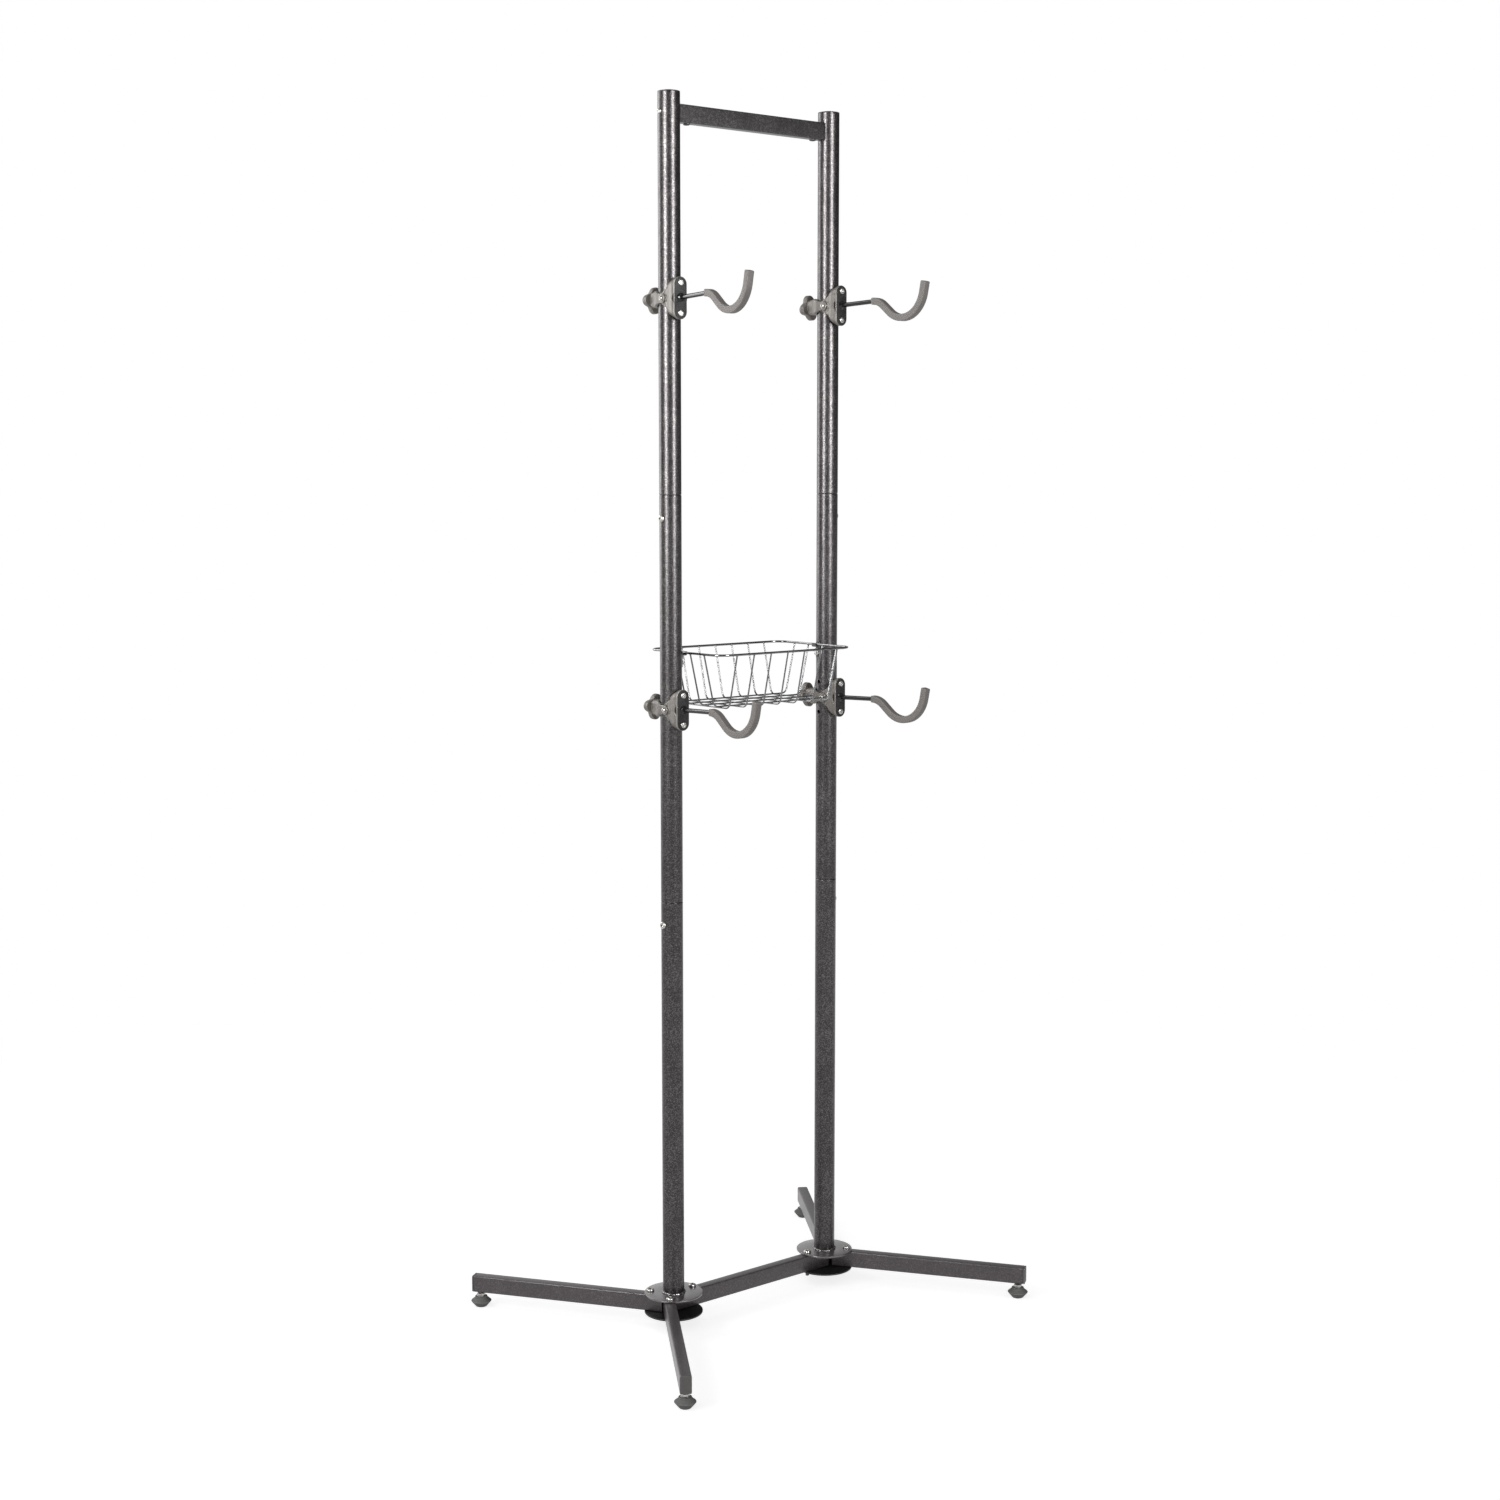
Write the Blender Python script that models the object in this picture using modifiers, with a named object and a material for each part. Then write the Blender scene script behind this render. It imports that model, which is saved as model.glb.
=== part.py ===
"""Freestanding two-post bike stand with four hook arms and a wire basket.

Metres, +Z up. The origin lies on the floor, midway between the two posts. The posts stand on
the X axis, and the hooks point along -Y. The two sides are named as seen from the front.
"""

import math

import bmesh
import bpy
from mathutils import Matrix, Vector

# Fits between neighbouring pieces
GAP = 0.0003
BOLT_PLAY = 0.0005

# Posts: three tubes, each plugged into the one below
POST_SPACING = 0.360
POST_RADIUS = 0.01905
TUBE_WALL = 0.0015
LOWER_SEAM = 0.767
UPPER_SEAM = 1.472
POST_TOP = 2.1425
SPIGOT_LENGTH = 0.070
SEAM_BOLT_DROP = 0.040
POST_SIDES = 24

# Base: legs and bar held between two round plates under each post
LEG_BOTTOM = 0.028
BAR_WIDTH = 0.020
BAR_HEIGHT = 0.030
BAR_CORNER = 0.002
BAR_INNER_HALF_WIDTH = BAR_WIDTH / 2 - TUBE_WALL
BAR_INNER_HALF_HEIGHT = BAR_HEIGHT / 2 - TUBE_WALL
PLATE_RADIUS = 0.052
PLATE_THICKNESS = 0.003
WELD_SIZE = 0.003
LEG_ANGLE = math.radians(56.3)
LEG_MEET = 0.0115
LEG_START = 0.009
LEG_END = 0.3743
FOOT_REACH = 0.3600
LEG_BOLT_REACH = 0.0345
BAR_BOLT_REACH = 0.0423
BASE_BAR_OVERRUN = 0.003

# Rubber feet on threaded studs
FOOT_HEIGHT = 0.019
STUD_RADIUS = 0.004
STUD_TOP = 0.046

# Bolts: head radius, head height, shank radius
BASE_BOLT = (0.0072, 0.0042, 0.0040)
POST_BOLT = (0.0065, 0.0036, 0.0030)
TOP_BAR_BOLT = (0.0046, 0.0034, 0.0030)
BASE_BOLT_TAIL = 0.0075

# Top bar
TOP_BAR_Z = 2.1090
TOP_BAR_END_WALL = 0.005

# Hook clamps: height on the post and swivel about it
CLAMPS = {
    "upper_left": (-1, 1.8012, math.radians(-6.1), math.radians(2)),
    "upper_right": (1, 1.8050, math.radians(1.4), math.radians(-15)),
    "lower_left": (-1, 1.1052, math.radians(-2.4), math.radians(8)),
    "lower_right": (1, 1.1045, math.radians(3.9), math.radians(-8)),
}
LINER_INNER = 0.0194
LINER_OUTER = 0.0202
LINER_HALF_HEIGHT = 0.011
CLAMP_BORE = 0.0206
CHEEK_HALF_WIDTH = 0.0201
EAR_HALF_WIDTH = 0.0236
PIVOT_FORWARD = 0.0112
PIVOT_HOLE = 0.0027
EAR_RADIUS = 0.0085
FLANGE_BACK = 0.0275
FLANGE_FRONT = 0.0317
PLATE_FRONT = 0.0360
PLATE_HALF_HEIGHT = 0.0355
PLATE_HALF_WIDTH = 0.0125
PLATE_SCREW_Z = 0.0254
PLATE_SCREW_HOLE = 0.0026
CLAMP_SCREW_RADIUS = 0.004
CLAMP_SCREW_TIP = 0.0210
KNOB_FRONT = 0.0410
KNOB_BACK = 0.0540
KNOB_RADIUS = 0.0225
KNOB_WAIST = 0.0140
KNOB_HUB_RADIUS = 0.0110
YOKE_BACK = 0.0390

# Hook arm: rod and sleeve
ROD_RADIUS = 0.0040
ROD_START = (0.0335, 0.0005)
ROD_RISE = math.radians(1.8)
SLEEVE_START = 0.116
SLEEVE_WIDTH = 0.0122
SLEEVE_CORNER = 0.0015
SLEEVE_TIP_WALL = 0.003
HOOK_BENDS = (
    ("line", 0.0836),
    ("turn", 0.039, math.radians(-39.8)),
    ("line", 0.0205),
    ("turn", 0.050, math.radians(116)),
    ("line", 0.0200),
)

# Basket
BASKET_RIM_Z = 1.201
BASKET_HALF_LENGTH = 0.153
BASKET_HALF_WIDTH = 0.1005
BASKET_CORNER = 0.025
BASKET_FLOOR_Z = 1.107
BASKET_TAPER = 0.022
BASKET_BEND = 0.012
RIM_WIRE = 0.0020
CAGE_WIRE = 0.0014
CROSS_WIRES = [k * 0.0383 for k in (-3, -2, -1, 0, 1, 2, 3)]
LONG_WIRES = [k * 0.0190 for k in (-3, -1, 1, 3)]
BRACKET_WIDTH = 0.010
BRACKET_FOOT_Z = 1.1765
BRACKET_STRIP = 0.0025
SPARE_HOLE_ZS = (1.132, 1.077)
SPARE_HOLE_RADIUS = 0.0035

# Colour, roughness and metallic value of each finish
FINISHES = {
    "post_paint": ((0.075, 0.072, 0.074), 0.35, 0.5),
    "base_paint": ((0.11, 0.10, 0.10), 0.4, 0.4),
    "plate_paint": ((0.20, 0.18, 0.19), 0.3, 0.5),
    "cast_grey": ((0.26, 0.24, 0.22), 0.5, 0.3),
    "bracket_paint": ((0.05, 0.05, 0.05), 0.6, 0.3),
    "black_rod": ((0.02, 0.02, 0.02), 0.25, 0.2),
    "sleeve_rubber": ((0.24, 0.21, 0.20), 0.75, 0.0),
    "foot_rubber": ((0.12, 0.12, 0.12), 0.8, 0.0),
    "chrome_wire": ((0.75, 0.75, 0.75), 0.12, 1.0),
    "steel": ((0.60, 0.58, 0.56), 0.3, 1.0),
    "nylon": ((0.03, 0.03, 0.03), 0.6, 0.0),
}

# Turns a shape drawn in XY and thickened along Z to face along X or along Y
FACING_X = Matrix(((0, 0, 1, 0), (1, 0, 0, 0), (0, 1, 0, 0), (0, 0, 0, 1)))
FACING_Y = Matrix(((1, 0, 0, 0), (0, 0, -1, 0), (0, 1, 0, 0), (0, 0, 0, 1)))

PLATE_TOP = LEG_BOTTOM + BAR_HEIGHT + GAP + PLATE_THICKNESS
PLATE_UNDER = LEG_BOTTOM - GAP - PLATE_THICKNESS
SIDES = {"left": -1, "right": 1}


def clear_scene():
    for old in list(bpy.data.objects):
        bpy.data.objects.remove(old, do_unlink=True)


def new_collection(name):
    collection = bpy.data.collections.new(name)
    bpy.context.scene.collection.children.link(collection)
    return collection


def add_object(name, data):
    shape = bpy.data.objects.new(name, data)
    PARTS.objects.link(shape)
    return shape


def remove(shape):
    bpy.data.objects.remove(shape, do_unlink=True)


def paint(shape, finish):
    """Give the piece its own material in one of the finishes."""
    colour, roughness, metallic = FINISHES[finish]
    material = bpy.data.materials.new(f"{shape.name}_{finish}")
    material.use_nodes = True
    shader = material.node_tree.nodes["Principled BSDF"]
    shader.inputs["Base Color"].default_value = (*colour, 1)
    shader.inputs["Roughness"].default_value = roughness
    shader.inputs["Metallic"].default_value = metallic
    shape.data.materials.clear()
    shape.data.materials.append(material)


def settle(shape):
    """Replace a curve, or a mesh with modifiers, by one clean mesh that faces outwards."""
    bpy.context.view_layer.update()
    mesh = bpy.data.meshes.new_from_object(shape.evaluated_get(bpy.context.evaluated_depsgraph_get()))
    work = bmesh.new()
    work.from_mesh(mesh)
    bmesh.ops.remove_doubles(work, verts=work.verts, dist=0.000001)
    bmesh.ops.recalc_face_normals(work, faces=work.faces)
    work.to_mesh(mesh)
    work.free()
    result = add_object(shape.name, mesh)
    result.matrix_world = shape.matrix_world
    name = shape.name
    remove(shape)
    result.name = name
    return result


def combine(shape, other, operation):
    """Boolean of two pieces; the second one is used up."""
    PARTS.objects.unlink(other)
    CUTTERS.objects.link(other)
    other.hide_render = True
    other.display_type = "WIRE"
    modifier = shape.modifiers.new(operation.title(), "BOOLEAN")
    modifier.operation = operation
    modifier.object = other
    modifier.solver = "EXACT"
    result = settle(shape)
    remove(other)
    return result


def smooth(shape, angle=35):
    shape.data.shade_smooth()
    shape.data.set_sharp_from_angle(angle=math.radians(angle))
    return shape


def box(name, low, high):
    """Axis-aligned block between two opposite corners."""
    low, high = Vector(low), Vector(high)
    mesh = bpy.data.meshes.new(name)
    work = bmesh.new()
    bmesh.ops.create_cube(work, size=1)
    bmesh.ops.scale(work, vec=high - low, verts=work.verts)
    bmesh.ops.translate(work, vec=(high + low) / 2, verts=work.verts)
    work.to_mesh(mesh)
    work.free()
    return add_object(name, mesh)


def rod(name, start, end, radius, sides=16):
    """Round bar from one point to another."""
    start, end = Vector(start), Vector(end)
    along = end - start
    place = Matrix.Translation((start + end) / 2) @ along.to_track_quat("Z", "Y").to_matrix().to_4x4()
    mesh = bpy.data.meshes.new(name)
    work = bmesh.new()
    bmesh.ops.create_cone(work, cap_ends=True, segments=sides, radius1=radius, radius2=radius,
                          depth=along.length, matrix=place)
    work.to_mesh(mesh)
    work.free()
    return add_object(name, mesh)


def turned(name, profile, sides, ring=False):
    """Profile of (radius, height) points, outer side from the top down, turned about Z."""
    mesh = bpy.data.meshes.new(name)
    count = len(profile)
    edges = [(k, k + 1) for k in range(count - 1)]
    if ring:
        edges.append((count - 1, 0))
    mesh.from_pydata([(r, 0, z) for r, z in profile], edges, [])
    shape = add_object(name, mesh)
    screw = shape.modifiers.new("Turn", "SCREW")
    screw.steps = sides
    screw.render_steps = sides
    screw.use_merge_vertices = True
    screw.merge_threshold = 0.00001
    return settle(shape)


def prism(name, outlines, low, high, facing=Matrix.Identity(4)):
    """Flat outlines, inner ones being holes, thickened from low to high and then turned."""
    curve = bpy.data.curves.new(name, "CURVE")
    curve.dimensions = "2D"
    curve.fill_mode = "BOTH"
    curve.extrude = (high - low) / 2
    for outline in outlines:
        spline = curve.splines.new("POLY")
        spline.points.add(len(outline) - 1)
        spline.use_cyclic_u = True
        for point, (x, y) in zip(spline.points, outline):
            point.co = (x, y, 0, 1)
    shape = settle(add_object(name, curve))
    shape.data.transform(facing @ Matrix.Translation((0, 0, (low + high) / 2)))
    return shape


def arc(centre, radius, start, end, steps):
    """Points on an arc; the angles are in degrees."""
    angles = [math.radians(start + (end - start) * k / steps) for k in range(steps + 1)]
    return [(centre[0] + radius * math.cos(a), centre[1] + radius * math.sin(a)) for a in angles]


def rounded_rectangle(half_width, half_height, corner, steps):
    points = []
    for x, y, start in ((1, 1, 0), (-1, 1, 90), (-1, -1, 180), (1, -1, 270)):
        centre = (x * (half_width - corner), y * (half_height - corner))
        points += arc(centre, corner, start, start + 90, steps)
    return points


def sweep(name, points, radius=None, section=None, resolution=4, cyclic=False):
    """Wire or tube along points, round or with a section of its own."""
    curve = bpy.data.curves.new(name, "CURVE")
    curve.dimensions = "3D"
    curve.resolution_u = 1
    curve.render_resolution_u = 0
    curve.use_fill_caps = True
    curve.twist_mode = "MINIMUM"
    guide = None
    if section:
        outline = bpy.data.curves.new(name + "_section", "CURVE")
        outline.dimensions = "2D"
        outline.fill_mode = "NONE"
        loop = outline.splines.new("POLY")
        loop.points.add(len(section) - 1)
        loop.use_cyclic_u = True
        for point, (x, y) in zip(loop.points, section):
            point.co = (x, y, 0, 1)
        guide = add_object(name + "_section", outline)
        curve.bevel_mode = "OBJECT"
        curve.bevel_object = guide
    else:
        curve.bevel_depth = radius
        curve.bevel_resolution = resolution
    spline = curve.splines.new("POLY")
    spline.points.add(len(points) - 1)
    spline.use_cyclic_u = cyclic
    for point, place in zip(spline.points, points):
        point.co = (*place, 1)
    shape = settle(add_object(name, curve))
    if guide:
        remove(guide)
    return shape


def walk(start, heading, moves, step=math.radians(14)):
    """Points of a path in a plane made of straight runs and round turns."""
    x, y = start
    points = [(x, y)]
    for move in moves:
        if move[0] == "line":
            x += move[1] * math.cos(heading)
            y += move[1] * math.sin(heading)
            points.append((x, y))
            continue
        radius, angle = move[1:]
        count = max(1, round(abs(angle) / step))
        turn = angle / count
        chord = 2 * radius * math.sin(abs(turn) / 2)
        for _ in range(count):
            x += chord * math.cos(heading + turn / 2)
            y += chord * math.sin(heading + turn / 2)
            heading += turn
            points.append((x, y))
    return points


def drill(shape, start, end, radius, sides=8):
    return combine(shape, rod("drill", start, end, radius, sides), "DIFFERENCE")


def place(shape, finish, location=(0, 0, 0), turn=0.0, parent=None):
    """Last step of every piece: finish, smooth shading, place."""
    paint(shape, finish)
    smooth(shape)
    shape.parent = parent
    shape.location = location
    shape.rotation_euler = (0, 0, turn)
    return shape


def rectangular_tube(name, low, high):
    """Tube along X, its section upright."""
    outer = rounded_rectangle(BAR_WIDTH / 2, BAR_HEIGHT / 2, BAR_CORNER, 1)
    inner = [(x * BAR_INNER_HALF_WIDTH, y * BAR_INNER_HALF_HEIGHT) for x, y in ((1, 1), (-1, 1), (-1, -1), (1, -1))]
    return prism(name, [outer, inner], low, high, FACING_X)


def dome_bolt(name, size, length):
    """Button-head bolt along Z, its head above z = 0 and its shank below."""
    head_radius, head_height, shank_radius = size
    profile = [(0, head_height), (head_radius * 0.72, head_height * 0.75), (head_radius, 0), (shank_radius, 0),
               (shank_radius, -length), (0, -length)]
    return turned(name, profile, 12)


def leg_bolt_points(side):
    """Places of the three bolts of a base plate, seen from its post's axis."""
    points = [(-side * BAR_BOLT_REACH, 0)]
    for y in (-1, 1):
        points.append((side * (LEG_MEET + LEG_BOLT_REACH * math.cos(LEG_ANGLE)),
                       y * LEG_BOLT_REACH * math.sin(LEG_ANGLE)))
    return points


def post_tube(name, bottom, top, spigot):
    """One post tube, with a reduced lower end where it plugs into the tube below."""
    inner = POST_RADIUS - TUBE_WALL
    if not spigot:
        outside = [(POST_RADIUS, top), (POST_RADIUS, PLATE_TOP + WELD_SIZE), (POST_RADIUS + WELD_SIZE, PLATE_TOP),
                   (PLATE_RADIUS, PLATE_TOP), (PLATE_RADIUS, PLATE_TOP - PLATE_THICKNESS),
                   (0, PLATE_TOP - PLATE_THICKNESS), (0, PLATE_TOP), (inner, PLATE_TOP), (inner, top)]
        return turned(name, outside, POST_SIDES, ring=True)
    plug = inner - GAP
    bore = plug - TUBE_WALL
    shoulder = bottom + GAP
    profile = [(POST_RADIUS, top), (POST_RADIUS, shoulder), (plug, shoulder), (plug, bottom - SPIGOT_LENGTH),
               (bore, bottom - SPIGOT_LENGTH), (bore, shoulder + TUBE_WALL), (inner, shoulder + 3 * TUBE_WALL),
               (inner, top)]
    return turned(name, profile, POST_SIDES, ring=True)


def make_posts():
    """Six post tubes, four seam bolts and two top plugs."""
    inner = POST_RADIUS - TUBE_WALL
    hole = POST_BOLT[2] + BOLT_PLAY
    for label, side in SIDES.items():
        outward = side * (POST_RADIUS + 0.01)
        lower = post_tube(f"post_lower_{label}", PLATE_TOP, LOWER_SEAM, False)
        for x, y in leg_bolt_points(side):
            lower = drill(lower, (x, y, PLATE_UNDER), (x, y, PLATE_TOP + 0.01), BASE_BOLT[2] + BOLT_PLAY)
        middle = post_tube(f"post_middle_{label}", LOWER_SEAM, UPPER_SEAM, True)
        upper = post_tube(f"post_upper_{label}", UPPER_SEAM, POST_TOP, True)
        low_bolt = LOWER_SEAM - SEAM_BOLT_DROP
        high_bolt = UPPER_SEAM - SEAM_BOLT_DROP
        lower = drill(lower, (0, 0, low_bolt), (outward, 0, low_bolt), hole)
        middle = drill(middle, (0, 0, low_bolt), (outward, 0, low_bolt), hole)
        middle = drill(middle, (0, 0, high_bolt), (outward, 0, high_bolt), hole)
        upper = drill(upper, (0, 0, high_bolt), (outward, 0, high_bolt), hole)
        upper = drill(upper, (-outward, 0, TOP_BAR_Z), (outward, 0, TOP_BAR_Z), hole)
        for z in SPARE_HOLE_ZS:
            middle = drill(middle, (0, 0, z), (-outward, 0, z), SPARE_HOLE_RADIUS)
        post_x = side * POST_SPACING / 2
        for tube in (lower, middle, upper):
            place(tube, "post_paint", (post_x, 0, 0))
        plug = turned(f"post_cap_{label}",
                      [(0, 0.0030), (0.012, 0.0024), (POST_RADIUS, 0.0008), (POST_RADIUS, GAP),
                       (inner - GAP, GAP), (inner - GAP, -0.012), (0, -0.012)], POST_SIDES)
        place(plug, "nylon", (post_x, 0, POST_TOP))
        for z, where in ((low_bolt, "lower"), (high_bolt, "upper")):
            bolt = dome_bolt(f"seam_bolt_{where}_{label}", POST_BOLT, 0.009)
            bolt.data.transform(Matrix.Rotation(side * math.pi / 2, 4, "Y"))
            place(bolt, "steel", (post_x + side * (POST_RADIUS + GAP), 0, z))


def make_top_bar():
    """Bar between the post tops, coped to the tubes, and the two long bolts that hold it."""
    reach = POST_SPACING / 2
    outer = rounded_rectangle(BAR_WIDTH / 2, BAR_HEIGHT / 2, BAR_CORNER, 1)
    bar = prism("top_bar", [outer], -reach, reach, FACING_X)
    for side in (-1, 1):
        x = side * reach
        bar = combine(bar, rod("cope", (x, 0, -0.03), (x, 0, 0.03), POST_RADIUS + GAP, POST_SIDES), "DIFFERENCE")
    bar = drill(bar, (-reach, 0, 0), (reach, 0, 0), POST_BOLT[2] + BOLT_PLAY)
    hollow_end = reach - POST_RADIUS - TOP_BAR_END_WALL
    hollow = box("hollow", (-hollow_end, -BAR_INNER_HALF_WIDTH, -BAR_INNER_HALF_HEIGHT),
                 (hollow_end, BAR_INNER_HALF_WIDTH, BAR_INNER_HALF_HEIGHT))
    bar = combine(bar, hollow, "DIFFERENCE")
    place(bar, "post_paint", (0, 0, TOP_BAR_Z))
    for label, side in SIDES.items():
        bolt = dome_bolt(f"top_bar_bolt_{label}", TOP_BAR_BOLT, 2 * POST_RADIUS + 0.012)
        bolt.data.transform(Matrix.Rotation(side * math.pi / 2, 4, "Y"))
        place(bolt, "steel", (side * (reach + POST_RADIUS + GAP), 0, TOP_BAR_Z))


def make_base():
    """Bottom plates, legs, base bar, base bolts and feet."""
    middle = LEG_BOTTOM + BAR_HEIGHT / 2
    hole = BASE_BOLT[2] + BOLT_PLAY
    bar_half = POST_SPACING / 2 + BASE_BAR_OVERRUN
    bar = rectangular_tube("base_bar", -bar_half, bar_half)
    for side in (-1, 1):
        x = side * (POST_SPACING / 2 - BAR_BOLT_REACH)
        bar = drill(bar, (x, 0, -0.03), (x, 0, 0.03), hole)
    place(bar, "base_paint", (0, 0, middle))

    leg_mesh = None
    foot_mesh = None
    for label, side in SIDES.items():
        post_x = side * POST_SPACING / 2
        plate = turned(f"base_plate_{label}",
                       [(0, PLATE_THICKNESS), (PLATE_RADIUS, PLATE_THICKNESS), (PLATE_RADIUS, 0), (0, 0)],
                       POST_SIDES)
        for x, y in leg_bolt_points(side):
            plate = drill(plate, (x, y, -0.01), (x, y, 0.01), hole)
        place(plate, "plate_paint", (post_x, 0, PLATE_UNDER))
        for (x, y), where in zip(leg_bolt_points(side), ("bar", "front", "back")):
            length = PLATE_TOP - PLATE_UNDER + BASE_BOLT_TAIL + GAP
            bolt = dome_bolt(f"base_bolt_{where}_{label}", BASE_BOLT, length)
            place(bolt, "steel", (post_x + x, y, PLATE_TOP + GAP))
        for where, y in (("front", -1), ("back", 1)):
            name = f"leg_{where}_{label}"
            if leg_mesh is None:
                leg = rectangular_tube(name, LEG_START, LEG_END)
                leg = drill(leg, (LEG_BOLT_REACH, 0, -0.03), (LEG_BOLT_REACH, 0, 0.03), hole)
                leg = drill(leg, (FOOT_REACH, 0, -0.03), (FOOT_REACH, 0, 0), STUD_RADIUS + BOLT_PLAY)
                leg_mesh = leg.data
            else:
                leg = add_object(name, leg_mesh.copy())
            turn = y * LEG_ANGLE if side > 0 else math.pi - y * LEG_ANGLE
            meet = (side * (POST_SPACING / 2 + LEG_MEET), 0, middle)
            place(leg, "base_paint", meet, turn)
            name = f"foot_{where}_{label}"
            if foot_mesh is None:
                foot = turned(name, [(0, STUD_TOP), (STUD_RADIUS, STUD_TOP), (STUD_RADIUS, FOOT_HEIGHT),
                                     (0.0120, FOOT_HEIGHT), (0.0183, 0.0110), (0.0180, 0.0070), (0.0085, 0),
                                     (0, 0)], 16)
                foot_mesh = foot.data
            else:
                foot = add_object(name, foot_mesh.copy())
            place(foot, "foot_rubber", (meet[0] + FOOT_REACH * math.cos(turn), FOOT_REACH * math.sin(turn), 0))


def mirrored(half):
    """Closed outline from the half with x >= 0, given from its lowest y to its highest."""
    return half + [(-x, y) for x, y in reversed(half)]


def stadium(half_width, half_height, steps=6):
    straight = half_height - half_width
    return arc((0, straight), half_width, 0, 180, steps) + arc((0, -straight), half_width, 180, 360, steps)


def make_saddle():
    """Front casting: two cheeks that hold the post, flaring into the tall oval flange."""
    plan = mirrored([(PLATE_HALF_WIDTH, -FLANGE_FRONT), (PLATE_HALF_WIDTH, -FLANGE_BACK), (0.0150, -0.0250),
                     (CHEEK_HALF_WIDTH, -0.0205), (CHEEK_HALF_WIDTH, -0.0020)])
    upper = [(-FLANGE_FRONT, PLATE_HALF_HEIGHT - 0.0012), (-FLANGE_BACK, PLATE_HALF_HEIGHT - 0.0012),
             (-0.0255, 0.0320), (-0.0215, 0.0205), (-0.0175, 0.0150), (-0.0110, 0.0125), (-0.0020, 0.0085)]
    side = upper + [(y, -z) for y, z in reversed(upper)]
    body = prism("saddle", [plan], -0.04, 0.04)
    body = combine(body, prism("saddle_side", [side], -0.03, 0.03, FACING_X), "INTERSECT")
    flange = prism("flange", [stadium(PLATE_HALF_WIDTH, PLATE_HALF_HEIGHT)], FLANGE_BACK, FLANGE_FRONT, FACING_Y)
    trim = prism("trim", [stadium(0.030, PLATE_HALF_HEIGHT - 0.0006)], 0, 0.05, FACING_Y)
    body = combine(body, trim, "INTERSECT")
    body = combine(body, flange, "UNION")
    body = combine(body, rod("bore", (0, 0, -0.05), (0, 0, 0.05), CLAMP_BORE, POST_SIDES), "DIFFERENCE")
    body = drill(body, (-0.03, -PIVOT_FORWARD, 0), (0.03, -PIVOT_FORWARD, 0), PIVOT_HOLE)
    for z in (-PLATE_SCREW_Z, PLATE_SCREW_Z):
        body = drill(body, (0, -0.02, z), (0, -0.04, z), PLATE_SCREW_HOLE)
    return body


def make_yoke():
    """Rear casting: two round ears outside the saddle's cheeks, and a boss for the screw."""
    plan = mirrored([(EAR_HALF_WIDTH, -PIVOT_FORWARD - EAR_RADIUS), (EAR_HALF_WIDTH + 0.0006, -0.004),
                     (EAR_HALF_WIDTH, 0.0070), (0.0208, 0.0160), (0.0150, 0.0235), (0.0105, 0.0280),
                     (0.0095, YOKE_BACK)])
    ear = arc((-PIVOT_FORWARD, 0), EAR_RADIUS, 180, 90, 5)
    upper = ear + [(0.0000, 0.0100), (0.0120, 0.0140), (0.0220, 0.0140), (0.0280, 0.0110), (YOKE_BACK, 0.0095)]
    side = upper + [(y, -z) for y, z in reversed(upper[1:])]
    body = prism("yoke", [plan], -0.03, 0.03)
    body = combine(body, prism("yoke_side", [side], -0.03, 0.03, FACING_X), "INTERSECT")
    ear_inner = CHEEK_HALF_WIDTH + GAP
    body = combine(body, box("between_ears", (-ear_inner, -0.03, -0.03), (ear_inner, 0, 0.03)), "DIFFERENCE")
    body = combine(body, rod("bore", (0, 0, -0.05), (0, 0, 0.05), CLAMP_BORE, POST_SIDES), "DIFFERENCE")
    body = drill(body, (-0.03, -PIVOT_FORWARD, 0), (0.03, -PIVOT_FORWARD, 0), PIVOT_HOLE)
    return drill(body, (0, 0.01, 0), (0, 0.05, 0), CLAMP_SCREW_RADIUS + 2 * GAP, 12)


def make_liner():
    """Thin split sleeve that rides on the post; the clamp swivels on it."""
    ring = turned("liner", [(LINER_OUTER, LINER_HALF_HEIGHT), (LINER_OUTER, -LINER_HALF_HEIGHT),
                            (LINER_INNER, -LINER_HALF_HEIGHT), (LINER_INNER, LINER_HALF_HEIGHT)],
                  POST_SIDES, ring=True)
    return combine(ring, box("slit", (0.01, -0.001, -0.02), (0.03, 0.001, 0.02)), "DIFFERENCE")


def make_knob():
    """Star knob with four lobes and its clamping screw, along Y."""
    points = []
    for k in range(32):
        angle = 2 * math.pi * k / 32
        wave = 0.5 + 0.5 * math.cos(4 * angle)
        radius = KNOB_WAIST + (KNOB_RADIUS - KNOB_WAIST) * wave ** 0.8
        points.append((radius * math.cos(angle), radius * math.sin(angle)))
    star = prism("knob", [points], -KNOB_BACK, -KNOB_FRONT, FACING_Y)
    bevel = star.modifiers.new("Edge", "BEVEL")
    bevel.width = 0.0018
    bevel.segments = 1
    bevel.limit_method = "ANGLE"
    bevel.angle_limit = math.radians(50)
    star = settle(star)
    hub = rod("hub", (0, YOKE_BACK + GAP, 0), (0, KNOB_FRONT + 0.004, 0), KNOB_HUB_RADIUS, 12)
    star = combine(star, hub, "UNION")
    screw = rod("screw", (0, CLAMP_SCREW_TIP, 0), (0, KNOB_FRONT + 0.002, 0), CLAMP_SCREW_RADIUS, 12)
    return combine(star, screw, "UNION")


def hook_points(first, last_trim):
    """Rod's middle line as points in the clamp's frame, from a reach on to short of the tip."""
    path = walk(ROD_START, ROD_RISE, HOOK_BENDS)
    (x0, z0), (x1, z1) = path[0], path[1]
    share = (first - x0) / (x1 - x0)
    path[0] = (first, z0 + (z1 - z0) * share)
    (x0, z0), (x1, z1) = path[-2], path[-1]
    share = 1 - last_trim / math.hypot(x1 - x0, z1 - z0)
    path[-1] = (x0 + (x1 - x0) * share, z0 + (z1 - z0) * share)
    return [(0, -r, z) for r, z in path]


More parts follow.
